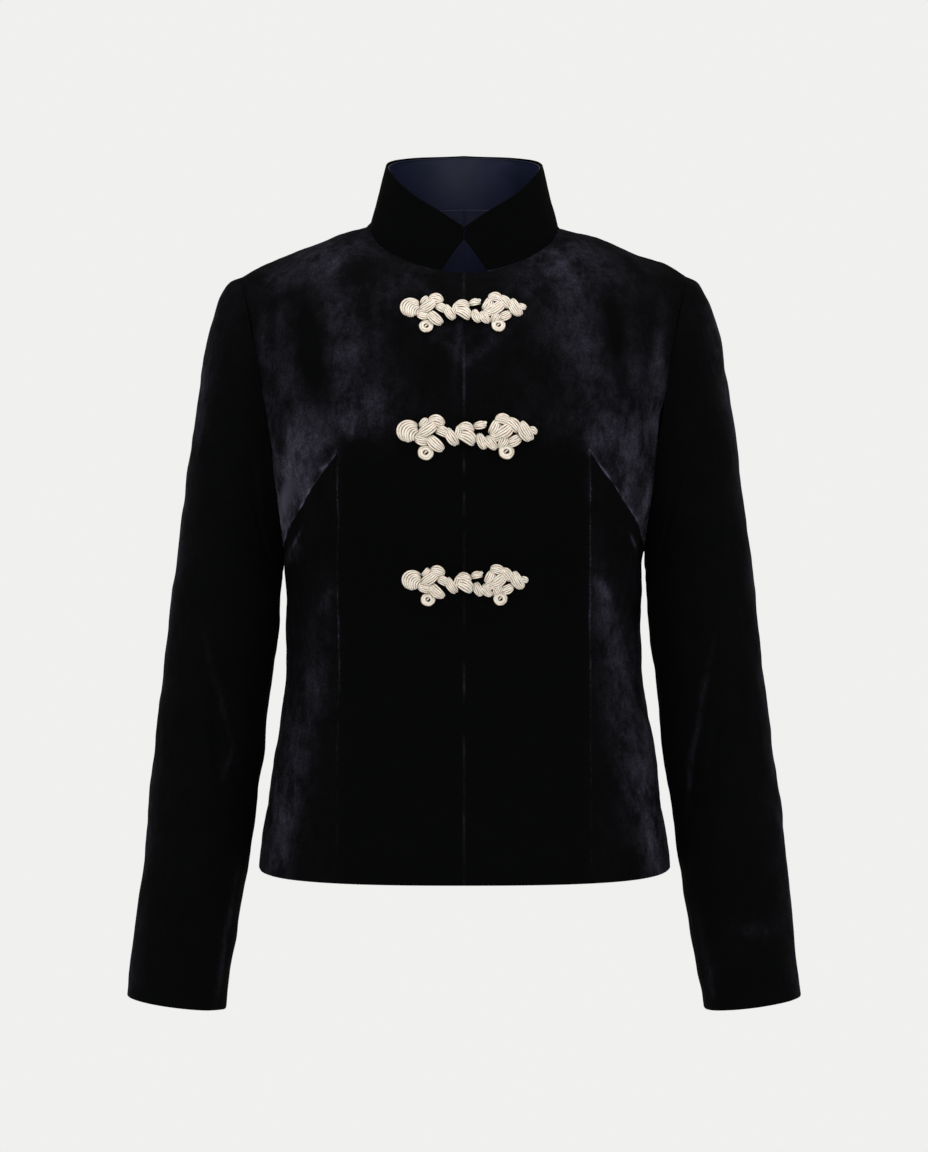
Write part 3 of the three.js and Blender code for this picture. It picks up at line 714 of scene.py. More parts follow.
# ---- Materials ----
class Nodes:
    """The nodes of a new material or world, and short ways to add more."""

    def __init__(self, owner):
        owner.use_nodes = True
        self.owner, self.tree = owner, owner.node_tree
        self.principled = self.tree.nodes.get("Principled BSDF")

    def feed(self, node, inputs):
        """Each input is another node's output, or a constant for the node's own socket."""
        for key, value in inputs.items():
            if isinstance(value, bpy.types.NodeSocket):
                self.tree.links.new(value, node.inputs[key])
            else:
                node.inputs[key].default_value = value

    def add(self, kind, output, inputs, **settings):
        node = self.tree.nodes.new(f"ShaderNode{kind}")
        for key, value in settings.items():
            setattr(node, key, value)
        self.feed(node, inputs)
        return node.outputs[output]

    def noise(self, scale, detail, roughness, stretch=None):
        """A noise texture in the object's own coordinates. scale is in features per metre."""
        place = self.add("TexCoord", "Object", {})
        if stretch:
            place = self.add("Mapping", "Vector", {"Vector": place, "Scale": stretch})
        look = {"Vector": place, "Scale": scale, "Detail": detail, "Roughness": roughness}
        return self.add("TexNoise", "Fac", look)

    def ramp(self, source, low, high, start=0.35, end=0.65):
        """Two colours, or two greys, over a range of a texture's value."""
        node = self.tree.nodes.new("ShaderNodeValToRGB")
        for stop, position, colour in zip(node.color_ramp.elements, (start, end), (low, high)):
            stop.position = position
            stop.color = (*np.broadcast_to(np.array(colour, float), 3), 1)
        self.feed(node, {"Fac": source})
        return node.outputs["Color"]

    def work_out(self, operation, a, b):
        return self.add("Math", 0, {0: a, 1: b}, operation=operation)

    def bump(self, heights):
        """Bumps laid one on another: (height, distance in metres, strength)."""
        before = {}
        for height, distance, strength in heights:
            this = {"Height": height, "Distance": distance, "Strength": strength}
            before = {"Normal": self.add("Bump", "Normal", {**this, **before})}
        self.feed(self.principled, before)


def velvet_material(name, flat, painted_sheen_grey, sheen_low, sheen_high):
    """Black where the nap lies down. Where the point attribute is high the nap is brushed up, and its sheen is
    painted in as a lighter grey base colour, with painted highlights above the highlight level.
    """
    nodes = Nodes(bpy.data.materials.new(name))
    blotches = nodes.noise(40, 7.0, 0.72, (1.0, 1.0, 0.7))
    streaks = nodes.noise(140, 5.0, 0.7, (1.0, 1.0, 0.5))
    crushed = nodes.noise(150, 3.0, 0.6)
    grain = nodes.noise(520, 3.0, 0.75)
    pile = nodes.noise(1700, 2.0, 0.7)
    nap_and_sheen = nodes.add("Attribute", "Fac", {}, attribute_name="nap_and_sheen")
    broken = ((blotches, 0.14, 0.4, 0.62), (streaks, 0.5, 0.36, 0.6), (grain, 0.45, 0.36, 0.6))
    uneven = nap_and_sheen
    for texture, least, start, end in broken:
        uneven = nodes.work_out("MULTIPLY", uneven, nodes.ramp(texture, least, 1.0, start, end))
    painted_highlights = nodes.work_out("SUBTRACT", nap_and_sheen, HIGHLIGHT_LEVEL / BRIGHTEST)
    uneven = nodes.work_out("MAXIMUM", uneven, painted_highlights)
    # Painted sheen and highlights: the base colour runs from black to a lighter grey with the mask, and the sheen
    # weight rises with it.
    brightest = tuple(mix(a, b, BRIGHTEST) for a, b in zip(flat, painted_sheen_grey))
    look = {
        "Base Color": nodes.ramp(uneven, flat, brightest, 0.0, 1.0),
        "Sheen Weight": nodes.ramp(uneven, sheen_low, mix(sheen_low, sheen_high, BRIGHTEST), 0.0, 1.0),
        "Sheen Roughness": 0.4,
        "Sheen Tint": (0.66, 0.62, 0.82, 1),
        "Roughness": 0.85,
        "Specular IOR Level": 0.015,
    }
    nodes.feed(nodes.principled, look)
    nodes.bump(((crushed, 0.0014, 0.3), (pile, 0.0004, 0.5)))
    return nodes.owner


def satin_material(name, low, high, roughness=0.36):
    nodes = Nodes(bpy.data.materials.new(name))
    look = {
        "Base Color": nodes.ramp(nodes.noise(30, 3.0, 0.5), low, high),
        "Roughness": roughness,
        "Specular IOR Level": 0.18,
        "Anisotropic": 0.5,
        "Sheen Weight": 0.04,
        "Sheen Tint": (0.5, 0.55, 0.9, 1),
    }
    nodes.feed(nodes.principled, look)
    thread = nodes.noise(900, 2.0, 0.5, (1.0, 1.0, 0.12))
    nodes.bump(((thread, 0.0002, 0.35),))
    return nodes.owner


def cord_material(name):
    """Cream, with painted shade browning the cords' flanks in the grooves, where the point attribute says so."""
    nodes = Nodes(bpy.data.materials.new(name))
    soft = nodes.noise(260, 3.0, 0.6)
    fibre = nodes.noise(2600, 2.0, 0.6)
    painted_groove_shade = nodes.add("Attribute", "Fac", {}, attribute_name="painted_groove_shade")
    shaded = nodes.tree.nodes.new("ShaderNodeMix")
    shaded.data_type, shaded.blend_type = "RGBA", "MULTIPLY"
    shaded.inputs["Factor"].default_value = 1.0
    cream, shade_colour = (socket for socket in shaded.inputs if socket.type == "RGBA")
    nodes.tree.links.new(nodes.ramp(soft, (0.63, 0.56, 0.46), (0.8, 0.735, 0.635), 0.3, 0.6), cream)
    # Painted shade: the cream is multiplied towards brown on the cords' flanks, where shade falls in the grooves.
    nodes.tree.links.new(nodes.ramp(painted_groove_shade, 1.0, (0.43, 0.35, 0.26), 0.05, 0.8), shade_colour)
    look = {
        "Base Color": next(socket for socket in shaded.outputs if socket.type == "RGBA"),
        "Roughness": 0.62,
        "Specular IOR Level": 0.3,
        "Sheen Weight": 0.35,
        "Subsurface Weight": 0.12,
        "Subsurface Scale": 0.0012,
    }
    nodes.feed(nodes.principled, look)
    nodes.bump(((fibre, 0.0003, 0.6), (soft, 0.0006, 0.35)))
    return nodes.owner


# The velvet's second colour is the painted sheen grey of brushed-up nap.
VELVET = velvet_material("velvet", (0.0013, 0.0014, 0.0014), (0.0345, 0.032, 0.047), 0.003, 0.4)
LINING = satin_material("lining satin", (0.012, 0.014, 0.034), (0.02, 0.023, 0.05))
FACING = satin_material("facing satin", (0.0035, 0.0062, 0.0185), (0.009, 0.0105, 0.031), 0.42)
CORD = cord_material("frog cord")


# ---- Torso panels ----
def rows_of(side, pairs):
    """Rows of the torso's points from rows of (around, level), which may differ in length."""
    arounds, levels = zip(*pairs)
    cuts = np.cumsum([len(around) for around in arounds])[:-1]
    return np.split(torso(side, np.concatenate(arounds), np.concatenate(levels)), cuts)


def front_rows():
    """The rows under the bust point end at the upright seam, and those above run out to the armhole."""
    inner = spaced(0, 1, 72, 1 / 118, 1 / 118)
    beyond = spaced(0, 1, 42, 0, 1 / 90)[1:]
    hem = hem_level(-1, inner * panel_seam_around(HEM["centre_front"]))
    pairs = []
    for share in spaced(0, 1, 150, 1 / 350, 0)[:-1]:
        level = mix(hem, BUST_POINT_Z, share)
        pairs.append((inner * panel_seam_around(level), level))
    around = np.concatenate([inner * BUST_AROUND, mix(BUST_AROUND, 1, beyond)])
    out = np.concatenate([np.zeros_like(inner), beyond])
    for share in spaced(0, 1, 100, 1 / 150, 1 / 150):
        pairs.append((around, mix(slant_level(out), TOP_LEVEL, mix(share, share * share, out))))
    return rows_of(-1, pairs)


TUCK = 2.1  # how deep the seam allowance lies under the front's wall
TUCK_STEPS = (-0.026, -0.014, -0.005)
TUCK_SHARES = (1.0017, 1.0045, 1.0085)


def side_front_rows():
    """The side front, with its seam allowance tucked under the front, and how deep each point is tucked."""
    across = np.concatenate([TUCK_STEPS, spaced(0, 1, 46, 1 / 100, 1 / 100)])
    on_panel = limit(across)
    hem = hem_level(-1, mix(panel_seam_around(HEM["side"]), 1, on_panel))
    pairs, tucks = [], []
    for share in np.concatenate([spaced(0, 1, 120, 1 / 300, 1 / 300), TUCK_SHARES]):
        level = mix(hem, slant_level(on_panel), share)
        seam = panel_seam_around(np.minimum(level, BUST_POINT_Z))
        start = mix(seam, BUST_AROUND, limit(share) * limit(across * 8))
        pairs.append((mix(start, 1, across), level))
        tucks.append(np.where((across < 0) | (share > 1), TUCK, 0))
    return rows_of(-1, pairs), np.concatenate(tucks)


def back_rows(first, last, low_rise=0.0, across=84, rows=72):
    columns = spaced(first, last, across, 1 / 200, 1 / 200)
    low = hem_level(1, columns) + low_rise
    levels = [mix(low, UNDERARM_Z, share) for share in spaced(0, 1, rows, 1 / 260, 0)[:-1]]
    for share in spaced(0, 1, rows, 0, 1 / 210):
        levels.append(mix(UNDERARM_Z, TOP_LEVEL, mix(share, share * share, columns)))
    return rows_of(1, [(columns, level) for level in levels])


SEAM_SEED = 20
CREASE_END = 14  # how far from the side seams the creases die away


def press(points, seams, table):
    """How far the cloth is pressed in: turned edges, puckers, creases and slow undulations.

    Two pieces that share a seam get the same numbers there, so their edges stay together.
    """
    left = on_left(points)
    sides = np.where(points[:, 0] < 0, 1, 0)
    total = np.zeros(len(points))
    for key in seams:
        radius, depth, reach, pitch = SEAM_LOOKS[key]
        distance, along = nearest(left, SEAMS[key])
        total += roll(distance, radius)
        seed = SEAM_SEED + 2 * list(SEAMS).index(key)
        for side in (0, 1):
            if depth and (sides == side).any():
                pulls = pucker(distance, along, seed + side, reach, depth, pitch)
                total += np.where(sides == side, pulls, 0)
    from_side, _ = nearest(left, SEAMS["side"])
    total += creases(points, table) * (1 - bell(from_side / CREASE_END))
    total += 1.0 * BROAD(points) + 0.5 * MEDIUM(points) + 0.13 * SMALL(points)
    return total


# How far each seam's edge is turned, and its puckers' depth, reach and pitch.
SEAM_LOOKS = {
    "centre_front": (1.2, 0.0, 7, 16),
    "upright": (0.9, 0.42, 7, 8),
    "slant": (0.9, 0.85, 8, 7),
    "side": (0.9, 0.2, 6, 12),
    "front_armhole": (0.8, 0.35, 8, 11),
    "back_armhole": (0.8, 0.3, 8, 11),
    "neck_front": (0.6, 0.4, 9, 12),
    "neck_back": (0.6, 0.3, 8, 12),
    "shoulder": (0.9, 0.15, 6, 14),
    "centre_back": (0.9, 0.0, 6, 12),
    "hem_front": (1.6, 0.0, 1, 1),
    "hem_back": (1.6, 0.0, 1, 1),
}
FRONT_SEAMS = ("centre_front", "upright", "slant", "front_armhole", "neck_front", "shoulder", "hem_front")
SIDE_SEAMS = ("upright", "slant", "side", "hem_front")
BACK_SEAMS = ("centre_back", "side", "back_armhole", "neck_back", "shoulder", "hem_back")


def both_sides(name, rows, build, tuck=0.0):
    points, faces = net(rows)
    points[:, 0] = np.maximum(points[:, 0], 0)
    build(f"{name}_left", points, faces, tuck)
    build(f"{name}_right", *flipped(points, faces), tuck)


pieces = {}


def keep(node, obj, slot):
    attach(obj, "root")
    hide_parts(node)
    pieces[node] = obj


STITCH = 4.4
EDGE_FADE = 0.08


# Painted highlights along the seams' turned edges, broken up by noise and, on the upright seam, by the stitches.
def painted_edge_highlights(piece, points):
    left = on_left(points)
    total = np.zeros(len(points))
    for key, first, last, width, strength in EDGE_HIGHLIGHT_ROWS[piece]:
        distance, along = nearest(left, SEAMS[key])
        share = along / SEAMS[key][1][-1]
        inside = limit((share - first) / EDGE_FADE + 1) * limit((last - share) / EDGE_FADE + 1)
        uneven = 0.85 + 0.25 * SMALL(points)
        if key == "slant":
            uneven = 0.5 + 0.8 * SMALL(points)
        elif key == "centre_front":
            uneven = 0.7 + 0.6 * MEDIUM(points)
        elif key == "upright":
            uneven = uneven + 0.5 * np.sin(along * 2 * math.pi / STITCH)
        total += strength * inside * bell(distance / width) * uneven
    return np.maximum(total, 0)


CENTRE_FADE, SEAM_FADE = 3, 4


def seam_shares(points):
    """At the centre lines normals don't lean sideways, and at the side and shoulder seams not back or forth."""
    left = on_left(points)
    centre = limit(left[:, 0] / CENTRE_FADE)
    seam = np.minimum(nearest(left, SEAMS["side"])[0], nearest(left, SEAMS["shoulder"])[0])
    return np.stack([centre, limit(seam / SEAM_FADE), np.ones(len(points))], axis=1)


BUST_LINE_Z = -180
BUST_LINE_FADE = 30


def torso_piece(piece, seams, table, nap_and_sheen_table):
    """A builder for one panel. On the fronts the nap lies flat and no sheen is painted below the bust line,
    between the upright seams.
    """

    def build(name, points, faces, tuck):
        pressed = press(points, seams, table) + tuck
        nap_and_sheen = brushed_and_sheen(points, nap_and_sheen_table)
        if piece == "front":
            line = BUST_LINE_Z + 7 * MEDIUM(points)
            above = ease(limit((points[:, 2] - line) / BUST_LINE_FADE + 0.5))
            beside = limit((np.abs(points[:, 0]) - PANEL_SEAM_X) / 10 + 0.8)
            nap_and_sheen *= np.maximum(above, beside)
        # Painted highlights along the seams' turned edges go on top.
        nap_and_sheen += painted_edge_highlights(piece, points)
        steady = seam_shares(points)
        obj = shell(f"{name}_velvet", points, faces, pressed, SHELL, (VELVET, LINING), nap_and_sheen=nap_and_sheen, steady=steady)
        keep(name, obj, "velvet")

    return build


both_sides("front", front_rows(), torso_piece("front", FRONT_SEAMS, FRONT_CREASES, FRONT_NAP_AND_SHEEN))
side_rows, side_tuck = side_front_rows()
both_sides("side_front", side_rows, torso_piece("side_front", SIDE_SEAMS, FRONT_CREASES, SIDE_NAP_AND_SHEEN), side_tuck)
both_sides("back", back_rows(1, 0), torso_piece("back", BACK_SEAMS, BACK_CREASES, BACK_NAP_AND_SHEEN))


LINING_SEED = 40
LINING_INSET = 2.6


def lining_piece(name, points, faces, tuck):
    distance, along = nearest(on_left(points), SEAMS["centre_back"])
    pressed = 0.6 * bell(distance / 1.2) + 0.25 * bell((distance - 5) / 3)
    pressed = pressed + 0.4 * (1 + MEDIUM(points)) + 0.12 * SMALL(points)
    pressed = np.maximum(pressed + pucker(distance, along, LINING_SEED, 6, 0.2, 14) + tuck, 0)
    satin, steady = (LINING, LINING), seam_shares(points)
    keep(name, shell(f"{name}_satin", points, faces, pressed, SATIN, satin, LINING_INSET, steady=steady), "satin")


both_sides("back_lining", back_rows(0.885, 0, 22, 52, 52), lining_piece)


# ---- Sleeves ----
SLEEVE_CREASE_COLUMNS = ("side", "along", "turn", "length", "width", "angle", "depth")
SLEEVE_CREASES = (
    # side -1 is the wearer's right and 0 is both. angle 0 runs down the sleeve, and turns towards the underarm.
    (-1, 0.665, 1.75, 64, 4.2, 12, 1.5),
    (-1, 0.72, 1.95, 44, 4.0, 16, 1.0),
    (-1, 0.60, 2.35, 46, 5.0, 50, 1.2),
    (-1, 0.56, 1.2, 60, 9.0, 40, 0.8),
    (-1, 0.80, 1.4, 70, 8.0, 14, 0.6),
    (1, 0.675, 1.72, 66, 4.2, 16, 1.5),
    (1, 0.63, 2.25, 44, 5.0, 54, 1.2),
    (1, 0.565, 1.5, 50, 8.0, 40, 0.9),
    (1, 0.895, 1.2, 46, 3.4, -64, 0.9),
    (1, 0.93, 1.55, 34, 3.0, -60, 0.6),
    (-1, 0.90, 1.7, 40, 3.4, 62, 0.7),
    (0, 0.25, 2.2, 70, 7.0, 24, 1.2),
    (0, 0.16, 1.9, 60, 6.0, 10, 0.8),
    (-1, 0.40, 1.0, 90, 12, 8, 0.8),
    (1, 0.42, 0.9, 90, 12, 8, 0.8),
    (0, 0.66, -1.6, 60, 6, 20, 1.3),
    (0, 0.3, -1.7, 80, 8, 10, 1.1),
)
SLEEVE_LENGTH = 610
SLEEVE_RADIUS = 49


def sleeve_creases(side, turn, along):
    total = np.zeros_like(turn)
    for c in named(SLEEVE_CREASE_COLUMNS, SLEEVE_CREASES):
        if c["side"] in (0, side):
            down = (along - c["along"]) * SLEEVE_LENGTH
            round_it = wrapped(turn - c["turn"]) * SLEEVE_RADIUS
            total += crease(c, down, round_it, bow=3, ridge=0.5, fade=1.4)
    return total


# Streaks of brushed nap with painted sheen and highlights on the sleeves. side is as for the creases, and slope is
# turn over along.
SLEEVE_NAP_AND_SHEEN_COLUMNS = ("side", "along", "turn", "half_along", "half_turn", "slope", "strength")
SLEEVE_NAP_AND_SHEEN = (
    (1, 0.635, 1.97, 0.075, 0.06, 4.4, 0.32),
    (1, 0.7, 2.3, 0.02, 0.06, 3.0, 0.35),
    (-1, 0.595, 1.68, 0.055, 0.06, 5.6, 0.2),
    (-1, 0.69, 2.0, 0.02, 0.06, -3.0, 0.14),
    (1, 0.2, 0.35, 0.12, 0.3, 0.0, 0.22),
    (-1, 0.2, 0.3, 0.12, 0.35, 0.0, 0.24),
    (-1, 0.93, 2.57, 0.08, 0.09, 0.0, 0.3),
    (1, 0.95, 2.5, 0.05, 0.12, 0.0, 0.16),
    (-1, 0.45, 0.2, 0.12, 0.2, 0.0, 0.16),
    (1, 0.62, 0.2, 0.2, 0.2, 0.0, 0.14),
    (1, 0.905, 1.3, 0.012, 0.4, -12.0, 0.16),
)


def sleeve_nap_and_sheen(side, turn, along):
    """The outer edge is brushed a little and given painted sheen, most near the cuff."""
    total = 0.015 + bell(wrapped(turn - 0.25) / 0.5) * (0.04 + 0.07 * along**3)
    for n in named(SLEEVE_NAP_AND_SHEEN_COLUMNS, SLEEVE_NAP_AND_SHEEN):
        if n["side"] == side:
            down = along - n["along"]
            round_it = wrapped(turn - n["turn"] - n["slope"] * down) / n["half_turn"]
            total = total + n["strength"] * np.exp(-((down / n["half_along"]) ** 2) - round_it**2)
    return total


SLEEVE_SEED = 60


def sleeve_pieces(name, first, last, count):
    turns = spaced(first, last, count, 1 / SLEEVE_RADIUS, 1 / SLEEVE_RADIUS)
    alongs = spaced(0, 1, 190, 1 / SLEEVE_LENGTH, 1 / SLEEVE_LENGTH)
    turn, along = (a.ravel() for a in np.meshgrid(turns, alongs))
    points, faces = net(np.split(sleeve(turn, along), len(alongs)))
    armhole = path(sleeve(np.linspace(-math.pi, math.pi, 500), np.zeros(500)))
    distance, run = nearest(points, armhole)
    points[:, 0] -= 2 * GAP * np.exp(-distance / 4)
    lines = [path(sleeve(np.full(300, SLEEVE_SEAMS[k]), np.linspace(0, 1, 300))) for k in ("front", "back")]
    to_seam = [nearest(points, line) for line in lines]
    cuff = (1 - along) * SLEEVE_LENGTH
    for side, label in ((1, "left"), (-1, "right")):
        seed = SLEEVE_SEED + side
        pressed = roll(distance, 0.8) + pucker(distance, run, seed, 11, 0.5, 12) + roll(cuff, 1.8)
        for i, (far, at) in enumerate(to_seam):
            pressed = pressed + roll(far, 0.8) + pucker(far, at, seed + 7 + i, 6, 0.25, 12)
        pressed = pressed + sleeve_creases(side, turn, along)
        p, f = (points, faces) if side > 0 else flipped(points, faces)
        pressed = pressed + 0.8 * BROAD(p) + 0.45 * MEDIUM(p) + 0.12 * SMALL(p)
        # The cap's ease stands up a little just outside the armhole seam.
        pressed = pressed - 1.1 * bell((distance - 9) / 7) * np.cos(turn / 2) ** 2
        # Brushed nap with painted sheen and highlights on this sleeve.
        nap_and_sheen = sleeve_nap_and_sheen(side, turn, along)
        obj = shell(f"{name}_{label}_velvet", p, f, pressed, SHELL, (VELVET, LINING), nap_and_sheen=nap_and_sheen)
        keep(f"{name}_{label}", obj, "velvet")


sleeve_pieces("top_sleeve", SLEEVE_SEAMS["back"], SLEEVE_SEAMS["front"], 100)
sleeve_pieces("under_sleeve", SLEEVE_SEAMS["front"], SLEEVE_SEAMS["back"] + 2 * math.pi, 46)


# ---- Collar ----
COLLAR_LENGTH = 420
COLLAR_HEIGHT = 60


def collar_piece(node, thickness, inset, trim, foot, material, slot, waves):
    """trim is how much lower the top is, and foot how far the piece runs down inside the neck, as shares of up."""
    shares = spaced(0, 1, 170, 1 / COLLAR_LENGTH, 1 / COLLAR_LENGTH)
    ups = spaced(-foot, 1 - trim, 22, 1 / COLLAR_HEIGHT, 1 / COLLAR_HEIGHT)
    share, up = (a.ravel() for a in np.meshgrid(shares, ups))
    end = collar_end(up) + trim / 4
    points, faces = net(np.split(collar(mix(end, 2 * math.pi - end, share), up), len(ups)))
    from_end = np.minimum(share, 1 - share) * COLLAR_LENGTH
    top = (1 - trim - up) * COLLAR_HEIGHT
    pressed = roll(top, 1.2) + roll(from_end, 1.2) + waves * (MEDIUM(points) + 0.4 * SMALL(points))
    if node == "collar_facing":
        pressed = np.maximum(pressed, 0)
    nap_and_sheen = np.zeros(len(points))
    keep(node, shell(f"{node}_{slot}", points, faces, pressed, thickness, (material, material), inset, nap_and_sheen), slot)


collar_piece("collar", 1.4, 0.0, 0.0, 0.014, VELVET, "velvet", 0.25)
collar_piece("collar_facing", SATIN, 1.9, 0.03, 0.05, FACING, "satin", 0.2)


# ---- Frog closures: lobes of packed cords, wound side by side ----
LOBE_COLUMNS = ("across", "up", "half_length", "half_width", "angle", "height", "cords", "bend")
BUTTON_LOBES = (
    (-32.6, 9.4, 4.6, 4.0, 50, 5.8, 4, 0.6),
    (-22.4, 10.8, 6.8, 5.4, -14, 6.4, 5, -1.8),
    (-34.0, -4.0, 6.6, 4.8, -12, 6.0, 5, 0.9),
    (-17.6, 2.4, 5.8, 4.6, -26, 6.8, 5, -0.9),
    (-29.4, 4.6, 9.4, 5.4, 34, 8.2, 5, 1.2),
    (-23.8, -7.0, 9.0, 5.4, -42, 7.4, 5, 1.0),
    (-10.2, -2.0, 7.9, 4.8, -57, 6.2, 5, 0.8),
    (-4.2, 1.6, 5.4, 4.0, 74, 6.6, 4, 0.7),
    (1.6, 5.2, 6.8, 4.8, -8, 9.0, 5, -1.8),
    (2.8, -2.2, 7.8, 6.2, -30, 9.4, 5, -1.8),
    (13.0, 7.5, 5.2, 3.7, 8, 6.4, 4, -0.6),
    (16.9, 9.0, 2.0, 1.7, 60, 5.4, 2, 0.0),
)
LOOP_LOBES = (
    (14.4, -5.4, 6.8, 4.5, -66, 5.6, 5, 0.7),
    (22.0, -6.8, 6.6, 4.4, -50, 5.8, 5, 0.8),
    (26.0, -1.4, 5.4, 4.4, 20, 6.0, 5, 0.9),
    (25.2, 5.4, 6.2, 5.4, 62, 6.8, 5, 1.2),
    (31.8, 12.4, 6.4, 5.0, -14, 6.6, 5, -1.6),
    (40.2, 8.2, 7.4, 5.2, -46, 6.8, 5, -1.2),
    (40.8, -5.0, 6.2, 4.8, 24, 6.2, 5, 0.9),
    (32.2, -5.6, 6.6, 4.4, 64, 6.4, 5, 0.6),
    (33.0, 2.6, 8.8, 5.8, 36, 8.4, 5, 1.4),
    (49.8, 2.6, 8.8, 6.0, -60, 6.2, 6, 0.9),
    (56.2, 3.6, 3.8, 3.2, -24, 5.4, 3, -0.5),
)
# Cords that spread like the ribs of a shell: the bends of the outermost and of the innermost, start to end.
BUTTON_FAN = {
    "outermost": ((-38, 8.5), (-48.5, 16.5), (-60, 5.5), (-50.5, -4)),
    "innermost": ((-37.5, 1.5), (-39, 0), (-39.5, -1.5), (-40, -3.5)),
    "cords": 8,
    "height": 6.6,
    "droop": 2.2,
}
RING_PLACES = {"button": (-31.2, -14.6), "loop": (34.6, -13.8)}
FROG_COLUMNS = ("name", "z", "size", "across", "up")
FROGS = (
    ("frog_top", -69, 0.9, -3.2, -5.6),
    ("frog_middle", -176, 1.0, 0.0, -1.3),
    ("frog_bottom", -295, 0.9, -1.5, -3.9),
)
TUBE_SIDES = 8


def tube(line, radii, closed=False):
    """A round tube along a line of points: its points, its faces, and how much painted groove shade each point
    gets.
    """
    line = np.asarray(line, float)
    if closed:
        tangent = unit(np.roll(line, -1, axis=0) - np.roll(line, 1, axis=0))
    else:
        tangent = unit(np.gradient(line, axis=0))
    up = np.array([0.0, 0.0, 1.0])
    across = np.cross(tangent, up)
    weak = np.linalg.norm(across, axis=1) < 0.25
    across[weak] = np.cross(tangent[weak], np.array([0.31, 0.95, 0.0]))
    for i in range(1, len(across)):
        if across[i] @ across[i - 1] < 0:
            across[i] = -across[i]
    across = unit(across)
    other = np.cross(across, tangent)
    turns = (np.arange(TUBE_SIDES) + 0.5) * 2 * math.pi / TUBE_SIDES
    radii = np.broadcast_to(radii, len(line))
    offsets = np.cos(turns)[None, :, None] * across[:, None] + np.sin(turns)[None, :, None] * other[:, None]
    points = (line[:, None] + offsets * radii[:, None, None]).reshape(-1, 3)
    count, faces = len(points), []
    for i in range(0, count if closed else count - TUBE_SIDES, TUBE_SIDES):
        for k in range(TUBE_SIDES):
            m, j = (k + 1) % TUBE_SIDES, (i + TUBE_SIDES) % count
            faces.append((i + k, i + m, j + m, j + k))
    if not closed:
        faces.append(tuple(range(TUBE_SIDES - 1, -1, -1)))
        faces.append(tuple(range(count - TUBE_SIDES, count)))
    # Painted shade: a cord's flanks, down in the grooves, get it, and its top does not.
    lift = offsets[:, :, 2] / offsets[:, :, 2].max(axis=1, keepdims=True)
    return points, faces, limit((0.97 - lift) / 0.6).ravel()


def lobe_cords(lobe, rng):
    """The cords of one wound lobe, in across, up and height. They part in its middle and meet at its ends."""
    count = lobe["cords"]
    angle = math.radians(lobe["angle"])
    made = []
    s = np.sin(np.linspace(-1, 1, 25) * QUARTER * 0.96)
    swell = np.sqrt(1 - s * s)
    for i in range(count):
        place = (i + 0.5) / count * 2 - 1
        radius = lobe["half_width"] / count * (0.2 + 0.82 * swell**0.7) * rng.uniform(0.94, 1.06)
        reach = lobe["half_length"] * rng.uniform(0.93, 1.0)
        u = reach * s
        v = place * lobe["half_width"] * (0.22 + 0.68 * swell) + lobe["bend"] * (s**2 - 0.4)
        v = v + 0.16 * np.sin(s * 3 + rng.uniform(0, 6))
        dome = np.sqrt(np.maximum(1 - s * s * 0.94 - place * place * 0.5, 0.02))
        h = (lobe["height"] - lobe["half_width"] / count) * dome * rng.uniform(0.97, 1.03)
        across = lobe["across"] + u * math.cos(angle) - v * math.sin(angle)
        up = lobe["up"] + u * math.sin(angle) + v * math.cos(angle)
        made.append(tube(np.stack([across, up, h - 0.3], axis=1), radius))
    return made


def fan_cords(fan, rng):
    """Cords that leave one place side by side and spread. Their ends dive."""
    outermost, innermost = np.array(fan["outermost"], float), np.array(fan["innermost"], float)
    s = np.sin(np.linspace(-1, 1, 30) * QUARTER * 0.98)
    t = ((s + 1) / 2)[:, None]
    swell = np.sqrt(1 - s**4)
    made = []
    for share in np.linspace(0, 1, fan["cords"]):
        a, b, c, d = mix(outermost, innermost, share) + rng.uniform(-0.25, 0.25, (4, 2))
        d = d - (0, fan["droop"] * math.sin(share * math.pi))
        line = bezier(a, b, c, d, t)
        dome = math.sqrt(1 - (share - 0.5) ** 2 * 2.6)
        thick = (0.76 + 0.5 * t[:, 0]) * (0.25 + 0.92 * swell)
        h = fan["height"] * dome * (0.3 + 0.7 * swell) - 1
        made.append(tube(np.column_stack([line, h]), thick))
    return made


def ring_cords(place, rng):
    """A small coil of two cords, with an end drawn across its hole."""
    made = []
    t = np.linspace(0, 2 * math.pi, 48, endpoint=False)
    for radius, thick, height in ((4.9, 1.75, 1.7), (3.5, 1.6, 2.5)):
        wobble = 1 + 0.03 * np.sin(2 * t + rng.uniform(0, 6)) + 0.02 * np.sin(5 * t + rng.uniform(0, 6))
        across = place[0] + radius * wobble * np.cos(t)
        up = place[1] + radius * 0.94 * wobble * np.sin(t)
        rise = height + 0.25 * np.sin(t + rng.uniform(0, 6))
        made.append(tube(np.stack([across, up, rise], axis=1), thick * (1 + 0.04 * np.sin(9 * t)), closed=True))
    s = np.linspace(-1, 1, 15)
    lean = rng.uniform(0.4, 0.8)
    across = place[0] + 2.6 * s * math.cos(lean)
    up = place[1] + 2.6 * s * math.sin(lean) + 0.5 * (1 - s * s)
    made.append(tube(np.stack([across, up, 1.9 - 0.5 * s * s], axis=1), 0.95 * np.sqrt(1.05 - s * s)))
    return made


def tree_of(mesh):
    return BVHTree.FromPolygons([v.co for v in mesh.vertices], [p.vertices for p in mesh.polygons])


FRONT_TREES = [tree_of(pieces[node].data) for node in ("front_left", "front_right")]
BEFORE_FRONT = -0.4  # metres


def front_y(x, z):
    """The fronts' outer surface at a place, or 0 beside them."""
    start, forward = Vector((x / 1000, BEFORE_FRONT, z / 1000)), Vector((0, 1, 0))
    hits = [tree.ray_cast(start, forward)[0] for tree in FRONT_TREES]
    return min((hit.y * 1000 for hit in hits if hit is not None), default=0)


FROG_NET = (24, 16)
FROG_MARGIN = 2
FROG_LIFT = 0.25  # how far the cords' foot is before the cloth


